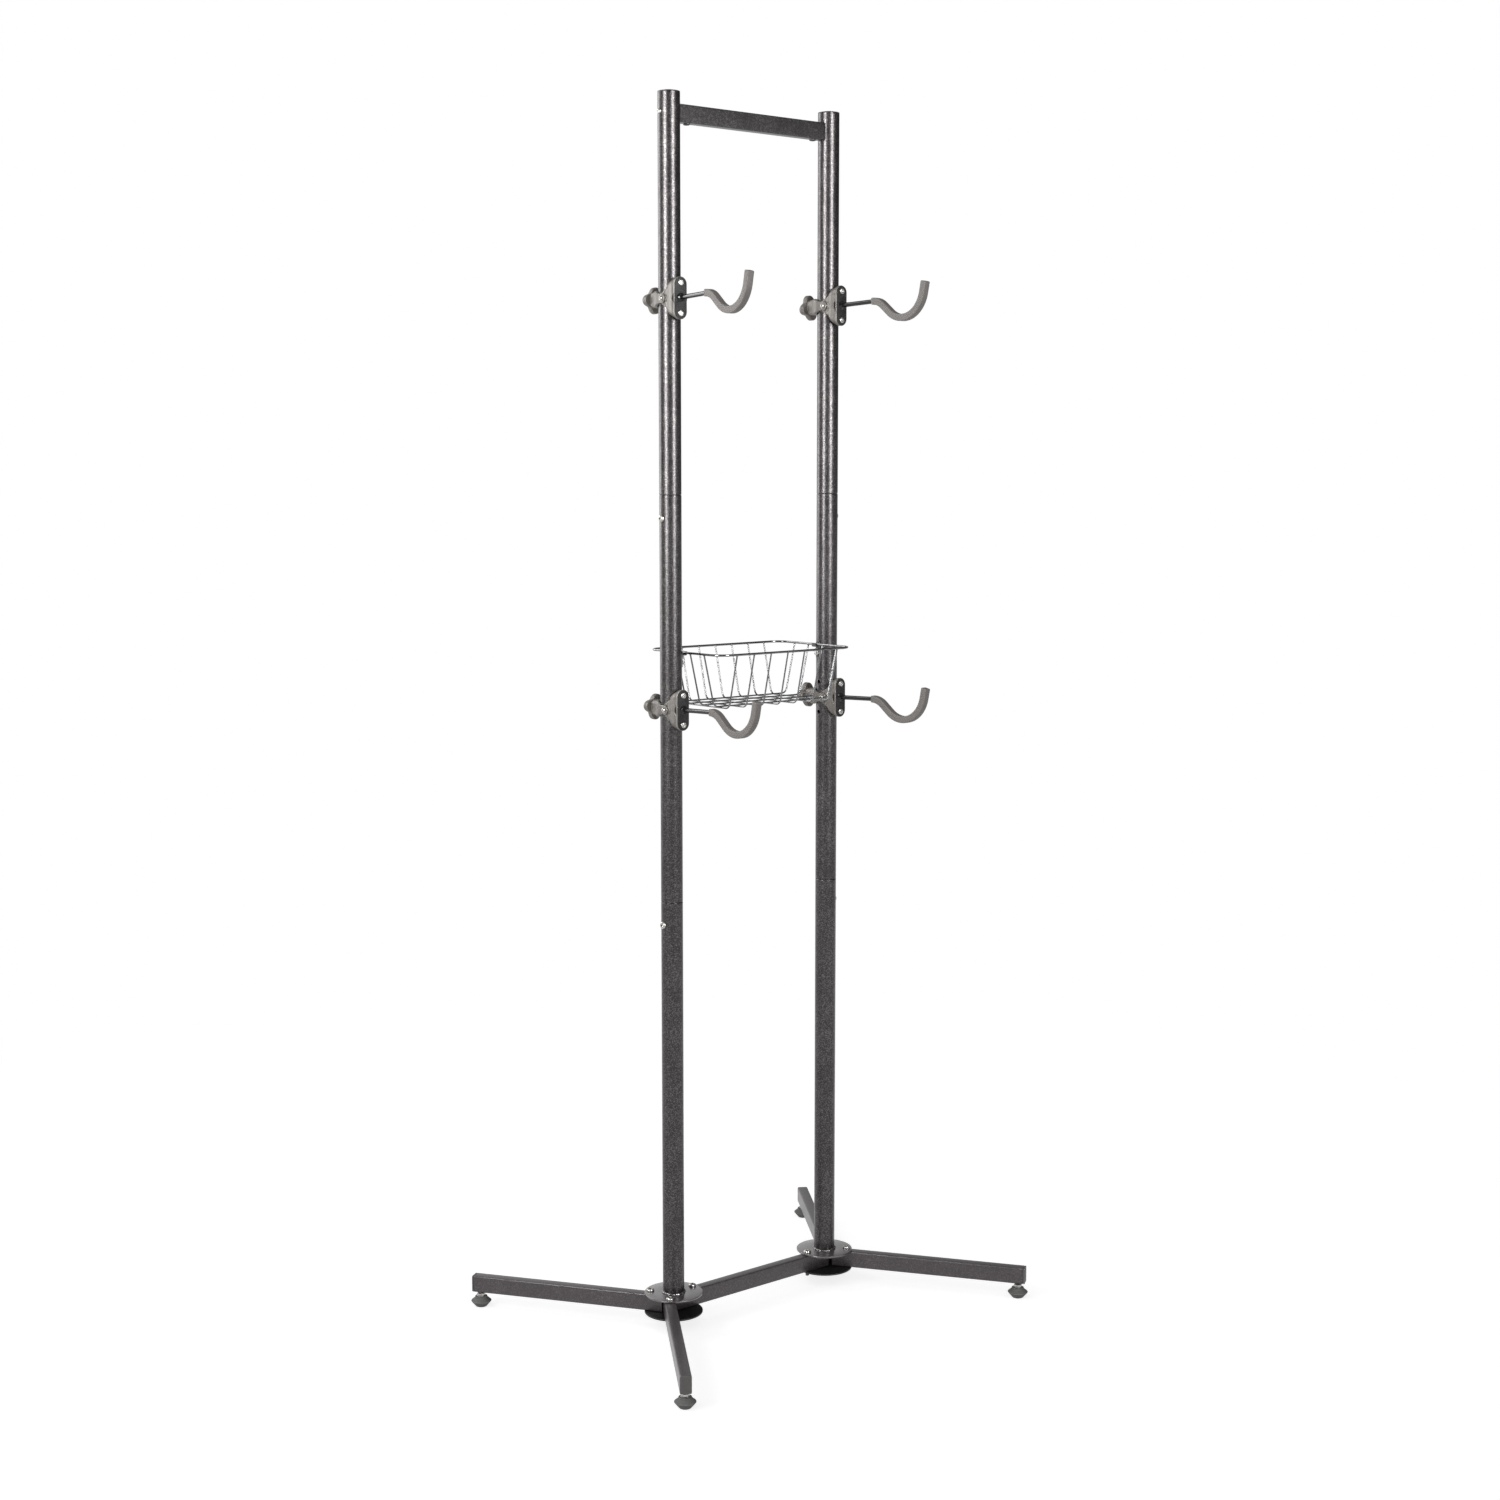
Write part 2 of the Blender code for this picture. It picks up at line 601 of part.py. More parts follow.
def make_arm():
    """Oval plate and the bent rod welded into it."""
    plate = prism("arm", [stadium(PLATE_HALF_WIDTH, PLATE_HALF_HEIGHT)], FLANGE_FRONT + GAP, PLATE_FRONT, FACING_Y)
    for z in (-PLATE_SCREW_Z, PLATE_SCREW_Z):
        plate = drill(plate, (0, -0.02, z), (0, -0.05, z), PLATE_SCREW_HOLE)
    boss = turned("boss", [(0, 0.0030), (0.0062, 0.0030), (0.0092, 0), (0.0092, -0.001), (0, -0.001)], 12)
    boss.data.transform(FACING_Y)
    boss.data.transform(Matrix.Translation((0, -PLATE_FRONT, ROD_START[1])))
    plate = combine(plate, boss, "UNION")
    return combine(plate, sweep("rod", hook_points(ROD_START[0], SLEEVE_TIP_WALL), ROD_RADIUS, resolution=2), "UNION")


def make_sleeve():
    """Soft square sleeve pushed over the bent end of the rod."""
    section = rounded_rectangle(SLEEVE_WIDTH / 2, SLEEVE_WIDTH / 2, SLEEVE_CORNER, 1)
    outer = sweep("sleeve", hook_points(SLEEVE_START, 0), section=section)
    bore_end = SLEEVE_TIP_WALL - GAP
    bore = sweep("bore", hook_points(SLEEVE_START - 0.002, bore_end), ROD_RADIUS + GAP + 0.0001, resolution=2)
    return combine(outer, bore, "DIFFERENCE")


def make_clamps():
    """Four hook clamps, each on an empty that stands on the post's axis at its height."""
    makers = (("saddle", make_saddle, "cast_grey"), ("yoke", make_yoke, "cast_grey"),
              ("liner", make_liner, "nylon"), ("arm", make_arm, "black_rod"),
              ("sleeve", make_sleeve, "sleeve_rubber"), ("knob", make_knob, "cast_grey"))
    for piece, maker, finish in makers:
        pattern = maker()
        for label, (side, height, swivel, knob_turn) in CLAMPS.items():
            hub = EMPTIES.get(label)
            if hub is None:
                hub = bpy.data.objects.new(f"clamp_axis_{label}", None)
                PARTS.objects.link(hub)
                hub.location = (side * POST_SPACING / 2, 0, height)
                hub.rotation_euler = (0, 0, swivel)
                EMPTIES[label] = hub
            copy = add_object(f"{piece}_{label}", pattern.data.copy())
            place(copy, finish, parent=hub)
            if piece == "knob":
                copy.rotation_euler = (0, knob_turn, 0)
        remove(pattern)


def wall_wire(half_span, floor_z, rim_z):
    """Half outline of a cage wire: from the rim down the sloping wall and in along the floor."""
    drop = rim_z - floor_z
    slope = math.atan2(drop, BASKET_TAPER)
    corner = (half_span - BASKET_TAPER, floor_z)
    cut = BASKET_BEND * math.tan(slope / 2)
    start = (corner[0] + cut * math.cos(slope), corner[1] + cut * math.sin(slope))
    bend = walk(start, slope + math.pi, [("turn", BASKET_BEND, -slope)], math.radians(30))
    return [(half_span, rim_z)] + bend


def make_basket():
    """Welded wire basket: a round-cornered rim, cross wires, and long wires lying on them."""
    rim_line = rounded_rectangle(BASKET_HALF_LENGTH, BASKET_HALF_WIDTH, BASKET_CORNER, 5)
    basket = sweep("basket", [(x, y, BASKET_RIM_Z) for x, y in rim_line], RIM_WIRE, resolution=2, cyclic=True)
    long_floor = BASKET_FLOOR_Z + 2 * CAGE_WIRE - 0.0004
    for x in CROSS_WIRES:
        half = wall_wire(BASKET_HALF_WIDTH, BASKET_FLOOR_Z, BASKET_RIM_Z)
        points = [(x, y, z) for y, z in half] + [(x, -y, z) for y, z in reversed(half)]
        basket = combine(basket, sweep("wire", points, CAGE_WIRE, resolution=1), "UNION")
    for y in LONG_WIRES:
        half = wall_wire(BASKET_HALF_LENGTH, long_floor, BASKET_RIM_Z)
        points = [(x, y, z) for x, z in half] + [(-x, y, z) for x, z in reversed(half)]
        basket = combine(basket, sweep("wire", points, CAGE_WIRE, resolution=1), "UNION")
    place(basket, "chrome_wire")


def make_brackets():
    """Strip brackets on the posts' inner faces; the basket's end wire lies in their hooks."""
    face = POST_SPACING / 2 - POST_RADIUS - GAP
    seat = BASKET_RIM_Z - RIM_WIRE - GAP
    hook_inner = BASKET_HALF_LENGTH - RIM_WIRE - 0.0006
    for label, side in SIDES.items():
        outline = [(face, BRACKET_FOOT_Z), (face, seat + 0.0060), (face - BRACKET_STRIP, seat + 0.0060),
                   (face - BRACKET_STRIP, seat), (hook_inner, seat), (hook_inner, seat + 0.0045),
                   (hook_inner - BRACKET_STRIP, seat + 0.0045), (hook_inner - BRACKET_STRIP, seat - 0.0010),
                   (hook_inner - BRACKET_STRIP + 0.0015, seat - BRACKET_STRIP),
                   (face - BRACKET_STRIP, seat - BRACKET_STRIP), (face - BRACKET_STRIP, BRACKET_FOOT_Z)]
        outline = [(side * x, z) for x, z in outline]
        bracket = prism(f"bracket_{label}", [outline], -BRACKET_WIDTH / 2, BRACKET_WIDTH / 2, FACING_Y)
        place(bracket, "bracket_paint")


clear_scene()
PARTS = new_collection("bike_stand")
CUTTERS = new_collection("cutters")
EMPTIES = {}
make_posts()
make_top_bar()
make_base()
make_clamps()
make_basket()
make_brackets()
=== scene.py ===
"""Looks of a freestanding bike stand: two posts, four hook clamps, a wire basket and a wide base.

Metres, +Z up. The posts stand on the X axis, the hooks point along -Y, and the origin lies on the
floor midway between the posts. Sides are named as seen from the front.
"""

import bmesh
import bpy
import numpy as np
from mathutils import Matrix, Vector


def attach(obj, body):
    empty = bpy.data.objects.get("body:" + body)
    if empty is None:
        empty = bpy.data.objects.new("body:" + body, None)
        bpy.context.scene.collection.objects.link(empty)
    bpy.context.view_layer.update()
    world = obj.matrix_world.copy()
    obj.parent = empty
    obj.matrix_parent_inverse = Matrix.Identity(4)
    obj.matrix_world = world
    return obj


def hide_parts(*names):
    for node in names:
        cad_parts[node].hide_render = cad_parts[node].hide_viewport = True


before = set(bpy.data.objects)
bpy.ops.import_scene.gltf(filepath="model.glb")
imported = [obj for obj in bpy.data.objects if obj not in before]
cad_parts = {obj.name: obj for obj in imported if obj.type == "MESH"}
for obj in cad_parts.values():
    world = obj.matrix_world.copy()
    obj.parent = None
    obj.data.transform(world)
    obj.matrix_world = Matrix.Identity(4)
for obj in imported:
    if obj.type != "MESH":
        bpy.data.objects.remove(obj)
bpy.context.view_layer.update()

# ---- Posts ------------------------------------------------------------------------------------
# Each post is three 38 mm steel tubes, each plugged into the one below, with two spare holes by
# the basket. They are sprayed with hammered grey paint: small raised cells, metallic flakes, and
# narrow valleys between the cells, which the colour darkens as painted shade.

SIDES = {"left": -1, "right": 1}
POST_X = 0.180
POST_RADIUS = 0.01905
TUBE_WALL = 0.0015
INNER_RADIUS = POST_RADIUS - TUBE_WALL
LOWER_SEAM = 0.767
UPPER_SEAM = 1.472
POST_TOP = 2.1425
PLATE_TOP = 0.0613
SPIGOT_LENGTH = 0.040
END_ROUNDING = 0.0011
SPARE_HOLES = (1.132, 1.077)
SPARE_HOLE_RADIUS = 0.0035
GAP = 0.0003
ROUND_SIDES = 96
MERGE_WITHIN = 0.000001


def add(tree, kind, setup=None, **sockets):
    """Adds a node. A socket named here gets a value, or a link from another node's output."""
    node = tree.nodes.new("ShaderNode" + kind)
    for key, value in (setup or {}).items():
        setattr(node, key, value)
    for key, value in sockets.items():
        socket = node.inputs[int(key[1:])] if key[1:].isdigit() else node.inputs[key.replace("_", " ")]
        if isinstance(value, bpy.types.NodeSocket):
            tree.links.new(value, socket)
        else:
            socket.default_value = value
    return node


def mix(tree, share, first, second, blend="MIX"):
    """Mix of two colours."""
    return add(tree, "Mix", {"data_type": "RGBA", "blend_type": blend},
               _0=share, _6=first, _7=second).outputs[2]


def maths(tree, operation, first, second=0.0, third=0.0):
    """One step of arithmetic on values."""
    return add(tree, "Math", {"operation": operation}, _0=first, _1=second, _2=third).outputs[0]


def ranged(tree, value, low, high, out_low=0.0, out_high=1.0):
    """Value carried smoothly from one range to another, and held at its ends."""
    return add(tree, "MapRange", {"interpolation_type": "SMOOTHSTEP"}, Value=value, From_Min=low,
               From_Max=high, To_Min=out_low, To_Max=out_high).outputs[0]


def noise(tree, place, scale, detail, rough=0.5):
    """Fractal noise about 0.5."""
    return add(tree, "TexNoise", Vector=place, Scale=scale, Detail=detail, Roughness=rough).outputs[0]


def new_group(name, inputs):
    """Empty shader group with named inputs, which puts out a colour, a roughness and a height. Returns
    its tree and its input and output sockets."""
    tree = bpy.data.node_groups.new(name, "ShaderNodeTree")
    for label, kind in inputs.items():
        tree.interface.new_socket(label, in_out="INPUT", socket_type="NodeSocket" + kind)
    for label, kind in (("Color", "Color"), ("Roughness", "Float"), ("Height", "Float")):
        tree.interface.new_socket(label, in_out="OUTPUT", socket_type="NodeSocket" + kind)
    return tree, tree.nodes.new("NodeGroupInput").outputs, tree.nodes.new("NodeGroupOutput").inputs


def hammered_group():
    """Hammered paint: Voronoi cells are the raised drops, each with its own grey and gloss. The
    valleys between them are darkened in the colour, as painted shade.
    """
    tree, given, out = new_group("hammered paint", {
        "Cells": "Float", "Dark": "Color", "Light": "Color", "Contrast": "Float", "Smooth": "Float",
        "Rough": "Float"})
    place = add(tree, "TexCoord").outputs["Object"]
    bend = add(tree, "TexNoise", Vector=place, Scale=240.0, Detail=1.0)
    bent = add(tree, "VectorMath", {"operation": "MULTIPLY_ADD"}, _0=bend.outputs["Color"],
               _1=(0.0016, 0.0016, 0.0016), _2=place).outputs[0]
    cells = add(tree, "TexVoronoi", {"feature": "SMOOTH_F1"}, Vector=bent, Scale=given["Cells"],
                Smoothness=0.85)
    grey = add(tree, "SeparateColor", Color=cells.outputs["Color"]).outputs[0]
    patches = noise(tree, place, 28.0, 3.0)
    drop = maths(tree, "SUBTRACT", 1.0, cells.outputs["Distance"])
    varied = maths(tree, "MULTIPLY_ADD", maths(tree, "SUBTRACT", patches, 0.5), 0.5, grey)
    lit = maths(tree, "POWER", ranged(tree, varied, 0.0, 1.0), given["Contrast"])
    colour = mix(tree, lit, given["Dark"], given["Light"])
    # Painted shade: the colour is darkened by up to 28 percent towards the sunken valleys between the drops.
    valley_shade = ranged(tree, drop, 0.25, 0.6, 0.72, 1.0)
    tree.links.new(mix(tree, 1.0, colour, valley_shade, "MULTIPLY"), out["Color"])
    spread = maths(tree, "SUBTRACT", given["Rough"], given["Smooth"])
    share = maths(tree, "MULTIPLY_ADD", grey, 0.5, maths(tree, "MULTIPLY", patches, 0.5))
    tree.links.new(maths(tree, "MULTIPLY_ADD", share, spread, given["Smooth"]), out["Roughness"])
    fine = noise(tree, place, 1500.0, 2.0)
    tree.links.new(maths(tree, "MULTIPLY_ADD", fine, 0.18, drop), out["Height"])
    return tree


def finished(name, group, values, bump, **sockets):
    """Material whose colour, gloss and relief come from a shared group, with this finish's values.

    bump is the relief's depth in metres and its strength; other sockets are the shader's own."""
    made = bpy.data.materials.new(name)
    made.use_nodes = True
    tree = made.node_tree
    shader = tree.nodes["Principled BSDF"]
    effect = tree.nodes.new("ShaderNodeGroup")
    effect.node_tree = group
    for key, value in values.items():
        effect.inputs[key].default_value = value
    relief = add(tree, "Bump", Height=effect.outputs["Height"], Distance=bump[0], Strength=bump[1])
    tree.links.new(effect.outputs["Color"], shader.inputs["Base Color"])
    tree.links.new(effect.outputs["Roughness"], shader.inputs["Roughness"])
    tree.links.new(relief.outputs[0], shader.inputs["Normal"])
    for key, value in sockets.items():
        shader.inputs[key.replace("_", " ")].default_value = value
    return made


HAMMERED = hammered_group()


def hammered(name, cells, dark, light, contrast, rough, bump, **sockets):
    """Hammered paint, where rough is the roughness of its smoothest and of its roughest drops."""
    values = {"Cells": cells, "Dark": (*dark, 1), "Light": (*light, 1), "Contrast": contrast,
              "Smooth": rough[0], "Rough": rough[1]}
    return finished(name, HAMMERED, values, bump, **sockets)


post_paint = hammered("hammered post paint", 850.0, dark=(0.048, 0.044, 0.045), light=(0.160, 0.151, 0.152),
                      contrast=2.2, rough=(0.28, 0.38), bump=(0.00005, 0.4), Metallic=0.85)


def skin(rings, closed=False):
    """Rings (rows, columns, 3) as points and quads: each point is joined to the next in its ring and to
    its twin in the next ring. Open rows get a pole, the mean of the end ring, at both ends."""
    if not closed:
        poles = [np.broadcast_to(rings[k].mean(0), rings[k].shape)[None] for k in (0, -1)]
        rings = np.concatenate([poles[0], rings, poles[1]])
    rows, columns = rings.shape[:2]
    index = np.arange(rows * columns).reshape(rows, columns)
    across = np.roll(index, -1, axis=1)
    quads = np.stack([index, across, np.roll(across, -1, axis=0), np.roll(index, -1, axis=0)], -1)
    return rings.reshape(-1, 3), quads[:rows if closed else rows - 1].reshape(-1, 4)


def joined(*shapes):
    """Several shapes as one."""
    starts = np.cumsum([0] + [len(points) for points, _ in shapes])
    return (np.concatenate([points for points, _ in shapes]),
            np.concatenate([quads + start for (_, quads), start in zip(shapes, starts)]))


def moved(shape, matrix):
    """A shape carried by a 4 x 4 matrix: turn times point, plus shift."""
    matrix = np.array(matrix)
    return shape[0] @ matrix[:3, :3].T + matrix[:3, 3], shape[1]


def shift(x, y, z):
    """Matrix that moves a shape."""
    return Matrix.Translation((x, y, z))


def turn(degrees, axis):
    """Matrix that turns a shape about an axis through the origin."""
    return Matrix.Rotation(np.radians(degrees), 4, axis)


def lathe(profile, sides=ROUND_SIDES, flats=None):
    """Rows of (radius, height) turned about Z. Where flats is 1, the radius is a hexagon's apothem:
    it is divided by the cosine of the angle to the nearest flat."""
    profile = np.asarray(profile, float)
    angle = np.linspace(0, 2 * np.pi, sides, endpoint=False)
    off_flat = (angle + np.pi / 6) % (np.pi / 3) - np.pi / 6
    share = np.zeros((len(profile), 1)) if flats is None else np.asarray(flats, float)[:, None]
    radius = profile[:, :1] * (1 + share * (1 / np.cos(off_flat) - 1))
    height = np.broadcast_to(profile[:, 1:], radius.shape)
    return np.stack([radius * np.cos(angle), radius * np.sin(angle), height], -1)


def rounding(centre, radius, start, end, steps=5):
    """Profile rows on a quarter circle or other arc, from one angle in degrees to another."""
    angle = np.radians(np.linspace(start, end, steps + 1))
    return np.stack([centre[0] + radius * np.cos(angle), centre[1] + radius * np.sin(angle)], 1)


def mark_edges(mesh, radius=0.0015):
    """Point attribute "edge" from 0 to 1: how far each point stands proud of its neighbours. It is the
    mean over its edges of minus normal times edge over edge length squared, times two and a radius."""
    points = np.empty(len(mesh.vertices) * 3, np.float32)
    normals = np.empty_like(points)
    ends = np.empty(len(mesh.edges) * 2, np.int32)
    mesh.vertices.foreach_get("co", points)
    mesh.vertex_normals.foreach_get("vector", normals)
    mesh.edges.foreach_get("vertices", ends)
    points, normals, ends = points.reshape(-1, 3), normals.reshape(-1, 3), ends.reshape(-1, 2)
    span = points[ends[:, 1]] - points[ends[:, 0]]
    squared = np.maximum((span ** 2).sum(1), 1e-12)
    total, count = np.zeros(len(points)), np.zeros(len(points))
    for end, sign in ((0, -1), (1, 1)):
        np.add.at(total, ends[:, end], sign * (normals[ends[:, end]] * span).sum(1) / squared)
        np.add.at(count, ends[:, end], 1)
    edge = np.clip(2 * radius * total / np.maximum(count, 1), 0, 1).astype(np.float32)
    mesh.attributes.new("edge", "FLOAT", "POINT").data.foreach_set("value", edge)


def clean_mesh(name, shape, slivers=True):
    """Mesh of a shape, with its poles and seams merged and its faces turned outwards. Where slivers is
    true, faces that the merging left without an area go too."""
    mesh = bpy.data.meshes.new(name)
    mesh.from_pydata(shape[0].tolist(), [], shape[1].tolist())
    work = bmesh.new()
    work.from_mesh(mesh)
    bmesh.ops.remove_doubles(work, verts=work.verts, dist=MERGE_WITHIN)
    if slivers:
        bmesh.ops.dissolve_degenerate(work, edges=work.edges, dist=MERGE_WITHIN / 10)
    bmesh.ops.recalc_face_normals(work, faces=work.faces)
    work.to_mesh(mesh)
    work.free()
    return mesh


def placed(name, data):
    """Object in the scene, at the origin."""
    made = bpy.data.objects.new(name, data)
    bpy.context.scene.collection.objects.link(made)
    return made


def make(name, shape, material, body, slot, *nodes, crease=32):
    """One piece from a shape, softly shaded up to the crease angle in degrees. It rides on a body and
    stands for the CAD nodes, which it hides. The slot is not used."""
    mesh = clean_mesh(name, shape)
    mesh.shade_smooth()
    mesh.set_sharp_from_angle(angle=np.radians(crease))
    mark_edges(mesh)
    mesh.materials.append(material)
    piece = placed(name, mesh)
    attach(piece, body)
    if nodes:
        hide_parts(*nodes)


def shaped(body, steps, voxel=None):
    """Solids joined to a body, or cut out of it, in turn. With a voxel size, a remesh and a smooth then
    round every edge, as a mould does. Returns points and faces, as triangles or as quads."""
    parts = [placed("work", clean_mesh("work", shape, slivers=False))
             for shape in (body, *[shape for _, shape in steps])]
    for (operation, _), other in zip(steps, parts[1:]):
        cut = parts[0].modifiers.new("cut", "BOOLEAN")
        cut.operation, cut.object, cut.solver = operation, other, "EXACT"
    if voxel:
        remesh = parts[0].modifiers.new("mould", "REMESH")
        remesh.mode, remesh.voxel_size = "VOXEL", voxel
        soften = parts[0].modifiers.new("soften", "SMOOTH")
        soften.factor, soften.iterations = 0.5, 15
    else:
        parts[0].modifiers.new("triangles", "TRIANGULATE")
    bpy.context.view_layer.update()
    finished_form = parts[0].evaluated_get(bpy.context.evaluated_depsgraph_get())
    mesh = bpy.data.meshes.new_from_object(finished_form)
    points = np.empty(len(mesh.vertices) * 3)
    mesh.vertices.foreach_get("co", points)
    corners = np.empty(len(mesh.loops), np.int32)
    mesh.loops.foreach_get("vertex_index", corners)
    for part in parts:
        bpy.data.objects.remove(part, do_unlink=True)
    return points.reshape(-1, 3), corners.reshape(-1, 4 if voxel else 3)


def post_tube(bottom, top, spigot):
    """Tube about Z with rounded ends; the upper ones narrow to a spigot below their shoulder. Its long
    outer face has rows near both ends and between, so that the rounding doesn't bend its shading."""
    soft = END_ROUNDING
    wall = np.concatenate([[top - soft - 0.0006], np.linspace(top - 0.006, bottom + 0.006, 24),
                           [bottom + soft + 0.0006]])
    rows = [[(INNER_RADIUS, top)], rounding((POST_RADIUS - soft, top - soft), soft, 90, 0),
            np.column_stack([np.full(len(wall), POST_RADIUS), wall]),
            rounding((POST_RADIUS - soft, bottom + soft), soft, 0, -90)]
    if spigot:
        plug, tip = INNER_RADIUS - GAP, bottom - SPIGOT_LENGTH
        rows.append([(plug, bottom), (plug, tip), (plug - TUBE_WALL, tip),
                     (plug - TUBE_WALL, bottom + 0.002), (INNER_RADIUS, bottom + 0.005)])
    else:
        rows.append([(INNER_RADIUS, bottom)])
    return skin(lathe(np.concatenate(rows)), closed=True)


lower = post_tube(PLATE_TOP, LOWER_SEAM, False)
middle = post_tube(LOWER_SEAM + GAP, UPPER_SEAM, True)
upper = post_tube(UPPER_SEAM + GAP, POST_TOP, True)
drill = skin(lathe([(SPARE_HOLE_RADIUS, 0.0), (SPARE_HOLE_RADIUS, 0.03)], 32))
for label, side in SIDES.items():
    drills = [("DIFFERENCE", moved(drill, shift(0, 0, z) @ turn(-side * 90, "Y"))) for z in SPARE_HOLES]
    for where, tube in (("lower", lower), ("middle", shaped(middle, drills)), ("upper", upper)):
        make(f"{where}_tube_{label}", moved(tube, shift(side * POST_X, 0, 0)), post_paint, "frame",
             "post_paint", f"post_{where}_{label}")

# ---- Post caps --------------------------------------------------------------------------------
# Low domed nylon plugs pressed into the open post tops: moulded black, with a fine eroded skin
# and a thin rim that lies on the tube's end.


def grain_group():
    """Moulded or cast skin: fine noise relief, soft blotches, and a paler tone on proud edges, which is
    rubbed wear and, on the grey casting, partly a painted highlight.
    """
    tree, given, out = new_group("grained skin", {
        "Grain": "Float", "Color": "Color", "Rubbed And Highlit": "Color", "Edge Wear": "Float", "Blotches": "Float",
        "Roughness": "Float"})
    place = add(tree, "TexCoord").outputs["Object"]
    coarse = noise(tree, place, 45.0, 4.0, 0.6)
    fine = noise(tree, place, given["Grain"], 3.0, 0.55)
    pits = add(tree, "TexVoronoi", Vector=place, Scale=maths(tree, "MULTIPLY", given["Grain"], 0.6))
    edge = add(tree, "Attribute", {"attribute_name": "edge"}).outputs["Fac"]
    broken = ranged(tree, maths(tree, "MULTIPLY_ADD", fine, 0.5, edge), 0.45, 0.95)
    worn_and_highlit = maths(tree, "MULTIPLY", broken, given["Edge Wear"])
    tone = maths(tree, "MULTIPLY_ADD", maths(tree, "SUBTRACT", coarse, 0.5), given["Blotches"],
                 maths(tree, "MULTIPLY_ADD", maths(tree, "SUBTRACT", fine, 0.5), given["Blotches"], 1.0))
    shaded = mix(tree, 1.0, given["Color"], tone, "MULTIPLY")
    # The paler colour on proud edges is wear, and on the grey casting also a painted highlight.
    tree.links.new(mix(tree, worn_and_highlit, shaded, given["Rubbed And Highlit"]), out["Color"])
    rough = maths(tree, "MULTIPLY_ADD", maths(tree, "SUBTRACT", coarse, 0.5), 0.3, given["Roughness"])
    tree.links.new(maths(tree, "MULTIPLY_ADD", worn_and_highlit, -0.12, rough), out["Roughness"])
    tree.links.new(maths(tree, "MULTIPLY_ADD", pits.outputs["Distance"], 0.35, fine), out["Height"])
    return tree


GRAINED = grain_group()


def grained(name, grain, color, rubbed_and_highlit, wear_and_highlight, blotches, rough, bump, **sockets):
    """Moulded or cast skin, with its own colour and the paler colour of its edges (rubbed wear and partly
    painted highlight), and how much of each effect.
    """
    values = {"Grain": grain, "Color": (*color, 1), "Rubbed And Highlit": (*rubbed_and_highlit, 1), "Edge Wear": wear_and_highlight,
              "Blotches": blotches, "Roughness": rough}
    return finished(name, GRAINED, values, bump, **sockets)


nylon = grained("black moulded nylon", 2200.0, color=(0.022, 0.022, 0.023), rubbed_and_highlit=(0.07, 0.07, 0.07),
                wear_and_highlight=0.5, blotches=0.4, rough=0.48, bump=(0.00008, 0.6))
post_cap = skin(lathe([(0, 0.0030), (0.006, 0.00285), (0.012, 0.0023), (0.0165, 0.0014),
                       *rounding((POST_RADIUS - 0.0007, 0.0003), 0.0007, 70, -90),
                       (INNER_RADIUS - 0.0003, 0.0003), (INNER_RADIUS - 0.0006, -0.012), (0, -0.012)]))
for label, side in SIDES.items():
    make(f"cap_{label}", moved(post_cap, shift(side * POST_X, 0, POST_TOP)), nylon, "frame", "nylon",
         f"post_cap_{label}")

# ---- Top bar ----------------------------------------------------------------------------------
# A 20 x 30 mm tube between the post tops, its ends coped round the posts and held by long bolts.
# It has a flatter coat of the hammered paint, and two low rivets under it near the posts.

TOP_BAR_Z = 2.1090
BAR_WIDTH = 0.020
BAR_HEIGHT = 0.030
BAR_CORNER = 0.0022
RIVET_X = 0.142

bar_paint = hammered("hammered bar paint", 850.0, dark=(0.054, 0.049, 0.051), light=(0.140, 0.132, 0.134),
                     contrast=2.2, rough=(0.32, 0.46), bump=(0.00006, 0.4), Metallic=0.5)


def rounded_outline(half_width, half_height, corner, steps=5):
    """Rounded rectangle, anticlockwise (points, 2): four quarter circles at the inset corners."""
    width, height = half_width - corner, half_height - corner
    return np.concatenate([rounding((x * width, y * height), corner, start, start + 90, steps)
                           for x, y, start in ((1, 1, 0), (-1, 1, 90), (-1, -1, 180), (1, -1, 270))])


bar_outline = rounded_outline(BAR_WIDTH / 2, BAR_HEIGHT / 2, BAR_CORNER)
coped = POST_X - np.sqrt((POST_RADIUS + GAP) ** 2 - bar_outline[:, 0] ** 2)
along = np.linspace(-1, 1, 41)[:, None]
top_bar = np.stack(np.broadcast_arrays(along * coped, bar_outline[:, 0], bar_outline[:, 1] + TOP_BAR_Z), -1)
make("top_bar_tube", skin(top_bar), bar_paint, "frame", "post_paint", "top_bar")
rivet = skin(lathe([(0.0064, 0.0005), *rounding((0.0034, 0.0), 0.0030, 0, -90), (0.0, -0.0034)], 40))
rivets = [moved(rivet, shift(side * RIVET_X, 0, TOP_BAR_Z - BAR_HEIGHT / 2)) for side in (-1, 1)]
make("top_bar_rivets", joined(*rivets), bar_paint, "frame", "post_paint")

# ---- Bolts ------------------------------------------------------------------------------------
# Zinc-plated steel: button heads with a hexagon socket and a turned, slightly brushed crown. The
# base bolts run right through both discs, and their threaded ends show below.

# Head radius, head height and shank radius
BASE_BOLT = (0.0072, 0.0042, 0.0036)
POST_BOLT = (0.0065, 0.0036, 0.0030)
TOP_BOLT = (0.0046, 0.0034, 0.0026)
SEAM_BOLT_LENGTH = 0.009
TOP_BOLT_LENGTH = 2 * POST_RADIUS + 0.012
SEAM_BOLT_DROP = 0.040
LEG_ANGLE = 56.3
LEG_MEET = 0.0115
LEG_BOLT_REACH = 0.0345
BAR_BOLT_REACH = 0.0423
PLATE_UNDER = 0.0247
BOLT_TAIL = 0.0075


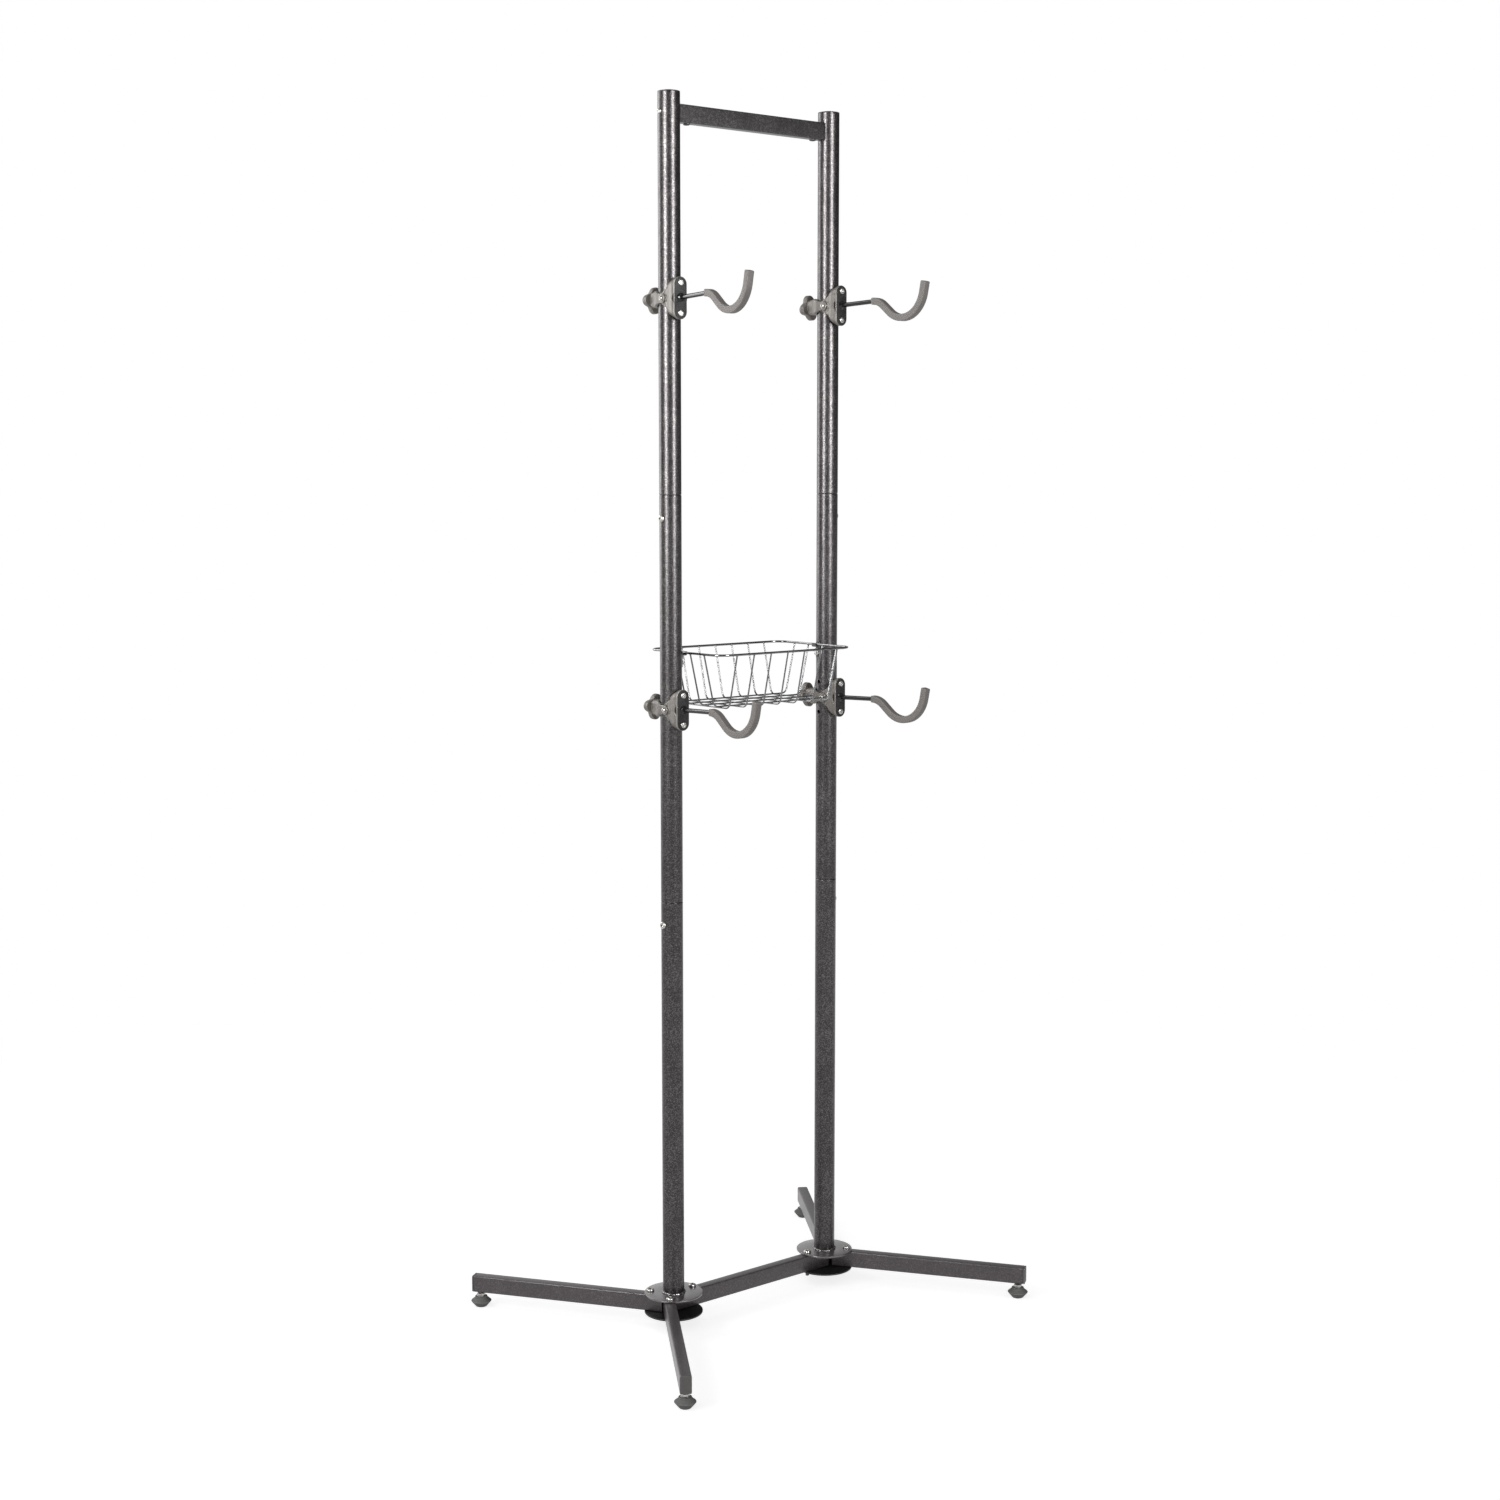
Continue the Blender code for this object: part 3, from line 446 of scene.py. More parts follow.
def brushed_group():
    """Plated metal: fine scratches, faint clouding, and a rougher, darker film in patches."""
    tree, given, out = new_group("plated metal", {
        "Color": "Color", "Clouded": "Color", "Roughness": "Float"})
    place = add(tree, "TexCoord").outputs["Object"]
    cloud = noise(tree, place, 160.0, 4.0, 0.65)
    stretched = add(tree, "Mapping", Vector=place, Scale=(1.0, 1.0, 5.0)).outputs[0]
    scratch = noise(tree, stretched, 1400.0, 3.0)
    film = ranged(tree, cloud, 0.35, 0.7)
    tree.links.new(mix(tree, film, given["Color"], given["Clouded"]), out["Color"])
    rough = maths(tree, "MULTIPLY_ADD", scratch, 0.12, given["Roughness"])
    tree.links.new(maths(tree, "MULTIPLY_ADD", film, 0.18, rough), out["Roughness"])
    tree.links.new(scratch, out["Height"])
    return tree


PLATED = brushed_group()
steel = finished("zinc plated steel", PLATED,
                 {"Color": (0.48, 0.468, 0.448, 1), "Clouded": (0.31, 0.30, 0.285, 1), "Roughness": 0.22},
                 bump=(0.00003, 0.5), Metallic=1.0)


def thread(radius, bottom, top, pitch, sides=32):
    """Screw thread about Z, as rings from the bottom up: the radius falls and rises with the height
    over the pitch less the turn angle, as a triangle wave, and runs out plain at both ends."""
    height = np.linspace(bottom, top, max(8, int(round((top - bottom) / pitch * 6))))[:, None]
    angle = np.linspace(0, 2 * np.pi, sides, endpoint=False)
    wave = np.abs(((height / pitch - angle / (2 * np.pi)) % 1) * 2 - 1)
    fade = np.clip(np.minimum(height - bottom, top - height) / pitch, 0, 1)
    ring = radius - 0.6 * pitch * (1 - wave) * fade
    return np.stack([ring * np.cos(angle), ring * np.sin(angle), np.broadcast_to(height, ring.shape)], -1)


def button_bolt(size, length, pitch=0.0010, thread_length=0.012, sides=32):
    """Button-head bolt along Z with its head above zero: thread, plain shank, crown, hexagon socket."""
    head, height, shank = size
    threaded = thread(shank, -length + 0.0006, -max(length - thread_length, 0.0006), pitch, sides)
    tip = lathe([(shank * 0.8, -length)], sides)
    crown = [(shank, -0.0002), (head - 0.0004, 0), (head, 0.0004)]
    crown += [(head - (head - 0.62 * head) * t ** 1.7, 0.0004 + (height - 0.0004) * np.sin(t * np.pi / 2))
              for t in np.linspace(0.12, 1, 8)]
    socket = [(0.40 * head, height), (0.37 * head, height - 0.0003), (0.37 * head, height * 0.35),
              (0.10 * head, height * 0.2)]
    flats = [0] * len(crown) + [1] * len(socket)
    return skin(np.concatenate([tip, threaded, lathe(crown + socket, sides, flats)]))


def outward(side):
    """Turns +Z to point away from the stand, along X."""
    return turn(side * 90, "Y")


seam_bolt = button_bolt(POST_BOLT, SEAM_BOLT_LENGTH)
top_bolt = button_bolt(TOP_BOLT, TOP_BOLT_LENGTH)
base_bolt = button_bolt(BASE_BOLT, PLATE_TOP - PLATE_UNDER + BOLT_TAIL + GAP, 0.0012, 0.014)
leg_bolt_x = LEG_MEET + LEG_BOLT_REACH * np.cos(np.radians(LEG_ANGLE))
leg_bolt_y = LEG_BOLT_REACH * np.sin(np.radians(LEG_ANGLE))
for label, side in SIDES.items():
    outer_face = side * (POST_X + POST_RADIUS + GAP)
    for where, seam in (("lower", LOWER_SEAM), ("upper", UPPER_SEAM)):
        bolt = moved(seam_bolt, shift(outer_face, 0, seam - SEAM_BOLT_DROP) @ outward(side))
        make(f"seam_screw_{where}_{label}", bolt, steel, "frame", "steel", f"seam_bolt_{where}_{label}")
    bolt = moved(top_bolt, shift(outer_face, 0, TOP_BAR_Z) @ outward(side))
    make(f"top_screw_{label}", bolt, steel, "frame", "steel", f"top_bar_bolt_{label}")
    for where, x, y in (("bar", -side * BAR_BOLT_REACH, 0), ("front", side * leg_bolt_x, -leg_bolt_y),
                        ("back", side * leg_bolt_x, leg_bolt_y)):
        bolt = moved(base_bolt, shift(side * POST_X + x, y, PLATE_TOP + GAP))
        make(f"base_screw_{where}_{label}", bolt, steel, "frame", "steel", f"base_bolt_{where}_{label}")

# ---- Discs and welds --------------------------------------------------------------------------
# Under each post two 104 mm steel discs clamp the legs and the base bar. The upper disc is welded
# to the post, and both have a hard, glossier coat of the hammered paint. The lower disc is drawn
# near-black and matt instead, as painted shade under the legs.

PLATE_RADIUS = 0.052
PLATE_THICKNESS = 0.003
WELD_SIZE = 0.0033

plate_paint = hammered("glossy disc paint", 760.0, dark=(0.120, 0.107, 0.116), light=(0.19, 0.172, 0.183),
                       contrast=1.6, rough=(0.26, 0.40), bump=(0.0001, 0.35), Metallic=0.35,
                       Coat_Weight=1.0, Coat_Roughness=0.08)
# Painted shade: the lower disc takes a near-black, matt copy of the disc paint, for the shade under the
# legs.
under_disc_shaded_paint = hammered("disc paint darkened for shade", 760.0, dark=(0.010, 0.009, 0.009), light=(0.03, 0.03, 0.03),
                       contrast=2.0, rough=(0.38, 0.5), bump=(0.00012, 0.35), Metallic=0.2)
weld_paint = hammered("bright weld paint", 700.0, dark=(0.09, 0.085, 0.085), light=(0.34, 0.33, 0.33),
                      contrast=1.6, rough=(0.14, 0.30), bump=(0.00015, 0.5), Metallic=0.8)


def disc(radius, thickness, edge=0.0007):
    """Round plate with its underside at zero and rounded edges."""
    rim = radius - edge
    return skin(lathe([(radius * 0.5, thickness), *rounding((rim, thickness - edge), edge, 90, 0, 4),
                       *rounding((rim, edge), edge, 0, -90, 4), (radius * 0.5, 0)]))


def weld_bead(radius, size, steps=360, ripples=22):
    """Fillet weld round a tube: a quarter circle whose size rises and falls along the ring as a row of
    overlapping drops of uneven length, with a slower uneven swell. Its last row lies in the wall."""
    angle = np.linspace(0, 2 * np.pi, steps, endpoint=False)
    drop = np.abs(np.sin(angle * ripples / 2 + 1.3 * np.sin(3 * angle) + 0.8 * np.sin(7 * angle + 2)))
    swell = size * (0.84 + 0.09 * drop + 0.12 * np.sin(4 * angle + 1) + 0.09 * np.sin(9 * angle))
    across = np.radians(np.linspace(0, 90, 9))[:, None]
    ring = radius + np.concatenate([swell * np.cos(across) ** 1.15, np.full((1, steps), -0.001)])
    up = np.concatenate([swell * np.sin(across) ** 1.15, np.zeros((1, steps))])
    return skin(np.stack([ring * np.cos(angle), ring * np.sin(angle), up], -1), closed=True)


plate_disc = disc(PLATE_RADIUS, PLATE_THICKNESS)
post_weld = weld_bead(POST_RADIUS, WELD_SIZE)
for label, side in SIDES.items():
    make(f"upper_disc_{label}", moved(plate_disc, shift(side * POST_X, 0, PLATE_TOP - PLATE_THICKNESS)),
         plate_paint, "frame", "plate_paint")
    make(f"under_disc_{label}", moved(plate_disc, shift(side * POST_X, 0, PLATE_UNDER)),
         under_disc_shaded_paint, "frame", "plate_paint", f"base_plate_{label}")
    make(f"post_weld_{label}", moved(post_weld, shift(side * POST_X, 0, PLATE_TOP)),
         weld_paint, "frame", "plate_paint", crease=60)

# ---- Legs and base bar ------------------------------------------------------------------------
# Rectangular 20 x 30 mm tubes, held on edge between the discs: four splayed legs and one bar
# between the posts. A grey ribbed cap closes each leg's outer end, as wide as the tube itself.

LEG_BOTTOM = 0.028
LEG_MIDDLE = LEG_BOTTOM + BAR_HEIGHT / 2
LEG_START = 0.009
LEG_END = 0.3743
BAR_REACH = POST_X + 0.003
CAP_DEPTH = 0.0030
CAP_JOINT = 0.0006

base_paint = hammered("hammered base paint", 850.0, dark=(0.066, 0.056, 0.061), light=(0.145, 0.128, 0.135),
                      contrast=2.2, rough=(0.32, 0.46), bump=(0.00008, 0.4), Metallic=0.4,
                      Coat_Weight=0.3, Coat_Roughness=0.30)


def rings_x(rows):
    """Rings across X from rows of (x, outline)."""
    return np.stack([np.column_stack([np.full(len(line), x), line]) for x, line in rows])


def box_tube(start, end, recess=0.010):
    """Rectangular tube along X, centred on the axis and open at both ends: the outer outline runs
    along it, turns in over a small lip, and the inner outline goes back a recess deep."""
    outer = bar_outline
    inner = rounded_outline(BAR_WIDTH / 2 - TUBE_WALL, BAR_HEIGHT / 2 - TUBE_WALL,
                            BAR_CORNER - TUBE_WALL)
    lip = (outer * 0.3 + inner * 0.7) * 0.4 + outer * 0.6
    along = np.linspace(start + 0.0004, end - 0.0004, 25)
    places = [start + recess, start, start, *along, end, end, end - recess]
    outlines = [inner, inner, lip, *([outer] * len(along)), lip, inner, inner]
    return skin(rings_x(zip(places, outlines)))


def leg_places():
    """Name and matrix of each leg: X runs out along the leg from where it meets the axis."""
    for label, side in SIDES.items():
        for where, y in (("front", -1), ("back", 1)):
            angle = y * LEG_ANGLE if side > 0 else 180 - y * LEG_ANGLE
            meet = shift(side * (POST_X + LEG_MEET), 0, LEG_MIDDLE)
            yield f"{where}_{label}", meet @ turn(angle, "Z")


cap_grey = grained("grey leg cap", 1500.0, color=(0.140, 0.132, 0.130), rubbed_and_highlit=(0.22, 0.21, 0.205),
                   wear_and_highlight=0.5, blotches=0.35, rough=0.5, bump=(0.00008, 0.5))


def ribbed_cap(ribs=7):
    """Leg cap along X: a spigot, a head as wide as the tube with softened edges, and an outer face
    whose height over its rows is a row of shallow raised ribs across the leg."""
    wide = rounded_outline(BAR_WIDTH / 2 - 0.0001, BAR_HEIGHT / 2 - 0.0001, BAR_CORNER)
    narrow = rounded_outline(BAR_WIDTH / 2 - TUBE_WALL - 0.0002, BAR_HEIGHT / 2 - TUBE_WALL - 0.0002,
                             0.0006)
    head = LEG_END - CAP_DEPTH
    rows = [(head - 0.008, narrow), (head, narrow), (head, wide * 0.985), (head + 0.0003, wide),
            (LEG_END - 0.0009, wide), (LEG_END - 0.0005, wide * 0.985), (LEG_END - 0.0004, wide * 0.95)]
    body = skin(rings_x(rows))
    rib = rounded_outline(0.0078, 0.0011, 0.0010, 4)
    rib_rows = [(LEG_END - 0.0012, 1.0), (LEG_END - 0.0003, 1.0), (LEG_END - 0.0001, 0.9)]
    return joined(body, *[skin(rings_x([(x, rib * share + (0, z)) for x, share in rib_rows]))
                          for z in np.linspace(-0.0112, 0.0112, ribs)])


leg_tube = box_tube(LEG_START, LEG_END - CAP_DEPTH - CAP_JOINT)
leg_cap = ribbed_cap()
for label, place in leg_places():
    make(f"leg_tube_{label}", moved(leg_tube, place), base_paint, "frame", "base_paint", f"leg_{label}")
    make(f"leg_cap_{label}", moved(leg_cap, place), cap_grey, "frame", "base_paint")
base_bar = moved(box_tube(-BAR_REACH, BAR_REACH), shift(0, 0, LEG_MIDDLE))
make("base_bar_tube", base_bar, base_paint, "frame", "base_paint", "base_bar")

# ---- Feet -------------------------------------------------------------------------------------
# Grey rubber pads, like a low spinning top, moulded on threaded studs that screw into the legs.
# A plated nut and washer sit on each pad, and turning it levels the stand.

FOOT_REACH = 0.3600
FOOT_HEIGHT = 0.019
STUD_TOP = 0.046
STUD_RADIUS = 0.0040
STUD_PITCH = 0.00125
WASHER_THICKNESS = 0.0012

foot_rubber = grained("grey foot rubber", 1100.0, color=(0.135, 0.135, 0.132), rubbed_and_highlit=(0.24, 0.235, 0.23),
                      wear_and_highlight=0.6, blotches=0.5, rough=0.72, bump=(0.00012, 0.5))
pad = skin(lathe([(0.0085, FOOT_HEIGHT), *rounding((0.0104, 0.0182), 0.0008, 90, 0, 4),
                  (0.0113, 0.0170), (0.0121, 0.0161), (0.0141, 0.0143), (0.0163, 0.0124),
                  *rounding((0.0173, 0.0104), 0.0010, 48, -42, 6),
                  (0.0164, 0.0078), (0.0140, 0.0050), (0.0118, 0.0024), (0.0102, 0.0005), (0.0092, 0.0)],
                 64))
nut = skin(lathe([(0.0045, 0.0), (0.0062, 0.0), (0.0065, 0.0004), (0.0065, 0.0041), (0.0061, 0.0046),
                  (0.0045, 0.0046)], 48, [0, 0, 1, 1, 0, 0]), closed=True)
washer = skin(lathe([(0.0047, 0.0), (0.0078, 0.0), (0.0080, 0.0002), (0.0080, WASHER_THICKNESS - 0.0002),
                     (0.0078, WASHER_THICKNESS), (0.0047, WASHER_THICKNESS)], 48), closed=True)
stud = joined(skin(thread(STUD_RADIUS, FOOT_HEIGHT - 0.006, STUD_TOP, STUD_PITCH)),
              moved(washer, shift(0, 0, FOOT_HEIGHT)),
              moved(nut, shift(0, 0, FOOT_HEIGHT + WASHER_THICKNESS)))
for label, place in leg_places():
    x, y, _ = place @ Vector((FOOT_REACH, 0, 0))
    make(f"pad_{label}", moved(pad, shift(x, y, 0)), foot_rubber, f"pad_{label}", "foot_rubber",
         f"foot_{label}")
    make(f"stud_{label}", moved(stud, shift(x, y, 0)), steel, f"pad_{label}", "steel")

# ---- Clamp castings ---------------------------------------------------------------------------
# Each hook hangs on a two-part clamp of cast metal with a warm grey coat. The front saddle flares
# from the pivots to a tall flange, with a notch behind the hook's plate, and the rear yoke holds
# the pivot bolts and the clamping screw.

# Side, height, swivel and turn of the knob, both in degrees
CLAMPS = {
    "upper_left": (-1, 1.8012, -6.1, 2.0),
    "upper_right": (1, 1.8050, 1.4, -15.0),
    "lower_left": (-1, 1.1052, -2.4, 8.0),
    "lower_right": (1, 1.1045, 3.9, -8.0),
}
CLAMP_BORE = 0.0206
PIVOT_FORWARD = 0.0112
FLANGE_FRONT = 0.0317
PLATE_HALF_HEIGHT = 0.0355
PLATE_HALF_WIDTH = 0.0125
NOTCH_FORWARD = 0.0382
NOTCH_RADIUS = 0.0108
VOXEL = 0.0007
ALONG_X = turn(90, "Y")
ALONG_Y = turn(-90, "X")

# Painted highlight: the casting's proud edges take a much paler colour, standing partly for wear and partly
# for light catching them.
cast_grey = grained("warm grey casting", 750.0, color=(0.190, 0.174, 0.158), rubbed_and_highlit=(0.37, 0.35, 0.325),
                    wear_and_highlight=0.8, blotches=0.8, rough=0.50, bump=(0.00028, 0.7), Metallic=0.15)


def stadium(half_width, half_height, steps=14):
    """Upright stadium outline (points, 2): two half circles joined by straight sides."""
    straight = half_height - half_width
    return np.concatenate([rounding((0, straight), half_width, 0, 180, steps),
                           rounding((0, -straight), half_width, 180, 360, steps)])


def rings_y(rows):
    """Rings across Y from rows of (y, outline)."""
    return np.stack([np.column_stack([line[:, 0], np.full(len(line), y), line[:, 1]]) for y, line in rows])


def loft_y(rows):
    """Body along Y from rows of y and a rounded rectangle's half width, half height and corner."""
    return skin(rings_y([(y, rounded_outline(*size, 7)) for y, *size in rows]))


def pin(radius, start, end, aim, edge=0.0006):
    """Round boss, pin or bore along Z with chamfered ends, carried by a matrix."""
    rows = [(radius - edge, start), (radius, start + edge), (radius, end - edge), (radius - edge, end)]
    return moved(skin(lathe(rows, 48)), aim)


def block(low, high):
    """Plain block, for cutting."""
    low, high = np.array(low), np.array(high)
    line = np.array([(0, 0), (1, 0), (1, 1), (0, 1)])
    rows = [np.column_stack([line, np.full(4, k)]) for k in (0, 1)]
    return skin(low + np.stack(rows) * (high - low))


post_bore = skin(lathe([(CLAMP_BORE - 0.0001, -0.05), (CLAMP_BORE - 0.0001, 0.05)]))
saddle = shaped(
    loft_y([(-0.0317, 0.0120, 0.0350, 0.0118), (-0.0314, 0.0125, 0.0355, 0.0124),
            (-0.0288, 0.0125, 0.0355, 0.0124), (-0.0284, 0.0124, 0.0336, 0.0120),
            (-0.0270, 0.0128, 0.0334, 0.0112), (-0.0255, 0.0142, 0.0324, 0.0100),
            (-0.0230, 0.0160, 0.0298, 0.0090), (-0.0208, 0.0172, 0.0266, 0.0080),
            (-0.0198, 0.0178, 0.0222, 0.0060), (-0.0188, 0.0188, 0.0186, 0.0045),
            (-0.0165, 0.0199, 0.0160, 0.0035), (-0.0112, 0.0200, 0.0130, 0.0030),
            (-0.0060, 0.0200, 0.0108, 0.0030), (-0.0024, 0.0200, 0.0088, 0.0030),
            (-0.0020, 0.0196, 0.0084, 0.0030)]),
    [("UNION", pin(0.0098, -0.0200, 0.0200, shift(0, -PIVOT_FORWARD, 0) @ ALONG_X)),
     ("DIFFERENCE", pin(NOTCH_RADIUS, -0.0200, 0.0200, shift(0, -NOTCH_FORWARD, 0) @ ALONG_X)),
     ("DIFFERENCE", post_bore)], VOXEL)
yoke = shaped(
    loft_y([(-0.0010, 0.0235, 0.0088, 0.0034), (0.0010, 0.0236, 0.0096, 0.0036),
            (0.0070, 0.0236, 0.0122, 0.0040), (0.0120, 0.0226, 0.0138, 0.0045),
            (0.0165, 0.0210, 0.0142, 0.0050), (0.0220, 0.0184, 0.0142, 0.0060),
            (0.0260, 0.0166, 0.0140, 0.0065), (0.0300, 0.0156, 0.0136, 0.0070),
            (0.0340, 0.0150, 0.0133, 0.0075), (0.0384, 0.0148, 0.0132, 0.0080),
            (0.0390, 0.0142, 0.0126, 0.0080)]),
    [("UNION", pin(0.0084, -0.0236, 0.0236, shift(0, -PIVOT_FORWARD, 0) @ ALONG_X)),
     ("UNION", block((-0.0234, -PIVOT_FORWARD, -0.0080), (0.0234, 0.0020, 0.0080))),
     ("DIFFERENCE", block((-0.0205, -0.04, -0.04), (0.0205, 0.0, 0.04))),
     ("DIFFERENCE", post_bore),
     ("DIFFERENCE", pin(0.0046, 0.01, 0.06, ALONG_Y))], VOXEL)


def to_clamp(label):
    """Matrix from a clamp's own frame, where its post is Z and its hook points along -Y."""
    side, height, swivel, _ = CLAMPS[label]
    return shift(side * POST_X, 0, height) @ turn(swivel, "Z")


for label in CLAMPS:
    make(f"cast_saddle_{label}", moved(saddle, to_clamp(label)), cast_grey, f"clamp_{label}", "cast_grey",
         f"saddle_{label}", crease=70)
    make(f"cast_yoke_{label}", moved(yoke, to_clamp(label)), cast_grey, f"clamp_{label}", "cast_grey",
         f"yoke_{label}", crease=70)

# ---- Pivot bolts and liners -------------------------------------------------------------------
# A short bolt on a painted washer joins the yoke's ear to the saddle on each side. A split nylon
# sleeve lies between the clamp and the post, so the clamp slides and swivels without scoring it.

LINER_INNER, LINER_OUTER, LINER_HALF_HEIGHT = 0.0194, 0.0202, 0.011
LINER_SLIT = 6.0
PIVOT_BOLT = (0.0038, 0.0026, 0.0022)
EAR_FACE = 0.0235


def split_ring():
    """Rectangle with small chamfers carried round Z from one side of the slit to the other."""
    half_wall = (LINER_OUTER - LINER_INNER) / 2
    line = rounded_outline(half_wall, LINER_HALF_HEIGHT, 0.00015, 1) + (LINER_INNER + half_wall, 0)
    angle = np.radians(np.linspace(LINER_SLIT / 2, 360 - LINER_SLIT / 2, 90))[:, None]
    return skin(np.stack(np.broadcast_arrays(line[:, 0] * np.cos(angle), line[:, 0] * np.sin(angle),
                                             line[:, 1]), -1))


liner = split_ring()
pivot_bolt = button_bolt(PIVOT_BOLT, 0.006)
pivot_washer = skin(lathe([(0.0039, 0.0), (0.0056, 0.0), (0.0057, 0.0003), (0.0055, 0.0005),
                           (0.0039, 0.0004)], 40), closed=True)
ears = [(side, shift(side * EAR_FACE, -PIVOT_FORWARD, 0) @ outward(side)) for side in (-1, 1)]
heads = joined(*[moved(pivot_bolt, shift(side * 0.0004, 0, 0) @ at_ear) for side, at_ear in ears])
washers = joined(*[moved(pivot_washer, at_ear) for _, at_ear in ears])
for label in CLAMPS:
    place = to_clamp(label)
    make(f"split_liner_{label}", moved(liner, place), nylon, f"slider_{label}", "nylon", f"liner_{label}")
    make(f"pivot_bolts_{label}", moved(heads, place), steel, f"clamp_{label}", "steel")
    make(f"pivot_washers_{label}", moved(washers, place), cast_grey, f"clamp_{label}", "cast_grey")

# ---- Star knobs -------------------------------------------------------------------------------
# Four-lobed knobs in the same grey coat, moulded on the clamping screw. Turning one presses its
# screw against the liner and holds the hook at its height.

KNOB_FRONT = 0.0410
KNOB_BACK = 0.0540
KNOB_RADIUS = 0.0225
KNOB_WAIST = 0.0160
YOKE_BACK = 0.0390
SCREW_ENDS = (0.0210, 0.0400)


def star_knob(columns=128):
    """Rings along Y of a star: the radius swings between waist and lobe with four times the angle, and
    each row's outline is drawn in by its second number. Before and after them come round rows, of
    their own radius, for the hub and the dish."""
    angle = np.linspace(0, 2 * np.pi, columns, endpoint=False)
    star = KNOB_WAIST + (KNOB_RADIUS - KNOB_WAIST) * (0.5 + 0.5 * np.cos(4 * angle)) ** 0.75
    circle = np.column_stack([np.cos(angle), np.sin(angle)])
    edge = 0.0020
    hub = [(YOKE_BACK + GAP, 0.0126), (YOKE_BACK + GAP + 0.0003, 0.0132), (KNOB_FRONT - 0.0003, 0.0136)]
    lobes = np.concatenate([rounding((KNOB_FRONT + 0.0010 + edge, edge), edge, 180, 270),
                            rounding((KNOB_BACK - 0.0012 - edge, edge), edge, -90, 0)])
    dish = [(KNOB_BACK - 0.0010, 0.0095), (KNOB_BACK - 0.0002, 0.0088), (KNOB_BACK, 0.0080),
            (KNOB_BACK, 0.0052), (KNOB_BACK - 0.0012, 0.0046)]
    return skin(rings_y([*((y, radius * circle) for y, radius in hub),
                         *((y, (star - inset)[:, None] * circle) for y, inset in lobes),
                         *((y, radius * circle) for y, radius in dish)]))


knob = star_knob()
screw = moved(skin(thread(STUD_RADIUS, *SCREW_ENDS, STUD_PITCH)), ALONG_Y)
screw_cap = moved(skin(lathe([(0.0044, 0.0), (0.0044, 0.0006), (0.0036, 0.0011), (0.0, 0.0013)], 40)),
                  shift(0, KNOB_BACK - 0.0013, 0) @ ALONG_Y)
for label, (_, _, _, knob_turn) in CLAMPS.items():
    place = to_clamp(label) @ turn(knob_turn, "Y")
    make(f"star_knob_{label}", moved(knob, place), cast_grey, f"star_{label}", "cast_grey", f"knob_{label}",
         crease=50)
    make(f"knob_screw_{label}", moved(joined(screw, screw_cap), place), steel, f"star_{label}", "steel")

# ---- Hook arms --------------------------------------------------------------------------------
# An oval plate, screwed to the saddle's flange, carries a bent 8 mm rod in gloss black. The weld
# where the rod leaves the plate is dressed to a smooth boss in the rod's black, which also stands
# for the painted shade round the rod's root, and the plate has a rough dark coat.

PLATE_FRONT = 0.0360
PLATE_SCREW_Z = 0.0254
ROD_RADIUS = 0.0040
ROD_START = (0.0335, 0.0005)
ROD_RISE = 1.8
SLEEVE_START = 0.116
PLATE_SCREW = (0.0053, 0.0024, 0.0024)
# Straight run, or radius and angle in degrees of a bend
HOOK_BENDS = ((0.0836, 0, 0), (0, 0.039, -39.8), (0.0205, 0, 0), (0, 0.050, 116.0), (0.0200, 0, 0))

rod_black = grained("gloss black rod", 500.0, color=(0.016, 0.016, 0.017), rubbed_and_highlit=(0.05, 0.05, 0.05),
                    wear_and_highlight=0.1, blotches=0.3, rough=0.12, bump=(0.00003, 0.3), Specular_IOR_Level=0.38)
hook_plate_paint = hammered("rough dark plate paint", 520.0, dark=(0.012, 0.011, 0.011),
                            light=(0.050, 0.045, 0.047), contrast=1.8, rough=(0.50, 0.62),
                            bump=(0.00025, 0.6), Specular_IOR_Level=0.3)


def walk(start, heading, moves, step=3.0):
    """Path in a plane from straight runs and round turns: a turn of many small equal chords."""
    place, heading = np.array(start, float), np.radians(heading)
    points = [place]
    for run, radius, angle in moves:
        count = 8 if run else max(1, int(round(abs(angle) / step)))
        bend = np.radians(angle) / count
        chord = run / count if run else 2 * radius * np.sin(abs(bend) / 2)
        headings = heading + bend * (np.arange(count) + 0.5)
        steps = np.cumsum(chord * np.stack([np.cos(headings), np.sin(headings)], 1), axis=0)
        points.extend(place + steps)
        place, heading = place + steps[-1], heading + np.radians(angle)
    return np.array(points)


def lengths(path):
    """Distance along a path at each of its points."""
    return np.concatenate([[0], np.cumsum(np.linalg.norm(np.diff(path, axis=0), axis=1))])


def read_along(path, distances, values=None):
    """Points of a path at distances along it, or other values that are given at its points."""
    values = path if values is None else values
    return np.stack([np.interp(distances, lengths(path), values[:, k]) for k in range(3)], 1)


def carried(path, flat_axis, outlines, closed=False, ahead=None):
    """An outline carried along a flat path: its first number runs along the path's side normal, the
    cross product of the flat axis and the heading, and its second along the flat axis."""
    path, flat_axis = np.asarray(path, float), np.asarray(flat_axis, float)
    if ahead is None:
        ahead = np.roll(path, -1, 0) - np.roll(path, 1, 0) if closed else np.gradient(path, axis=0)
    side = np.cross(flat_axis, ahead / np.linalg.norm(ahead, axis=1)[:, None])
    outlines = np.broadcast_to(outlines, (len(path), *np.shape(outlines)[-2:]))
    return path[:, None] + side[:, None] * outlines[..., :1] + flat_axis * outlines[..., 1:]


def ring_outline(radius, sides=24):
    """Circle (points, 2)."""
    angle = np.linspace(0, 2 * np.pi, sides, endpoint=False)
    return radius * np.stack([np.cos(angle), np.sin(angle)], 1)


hook_flat = walk(ROD_START, ROD_RISE, HOOK_BENDS)
hook_path = np.column_stack([np.zeros(len(hook_flat)), -hook_flat[:, 0], hook_flat[:, 1]])
sleeve_from = (SLEEVE_START - ROD_START[0]) / np.cos(np.radians(ROD_RISE))
rod_path = read_along(hook_path, np.linspace(0.001, sleeve_from + 0.009, 60))


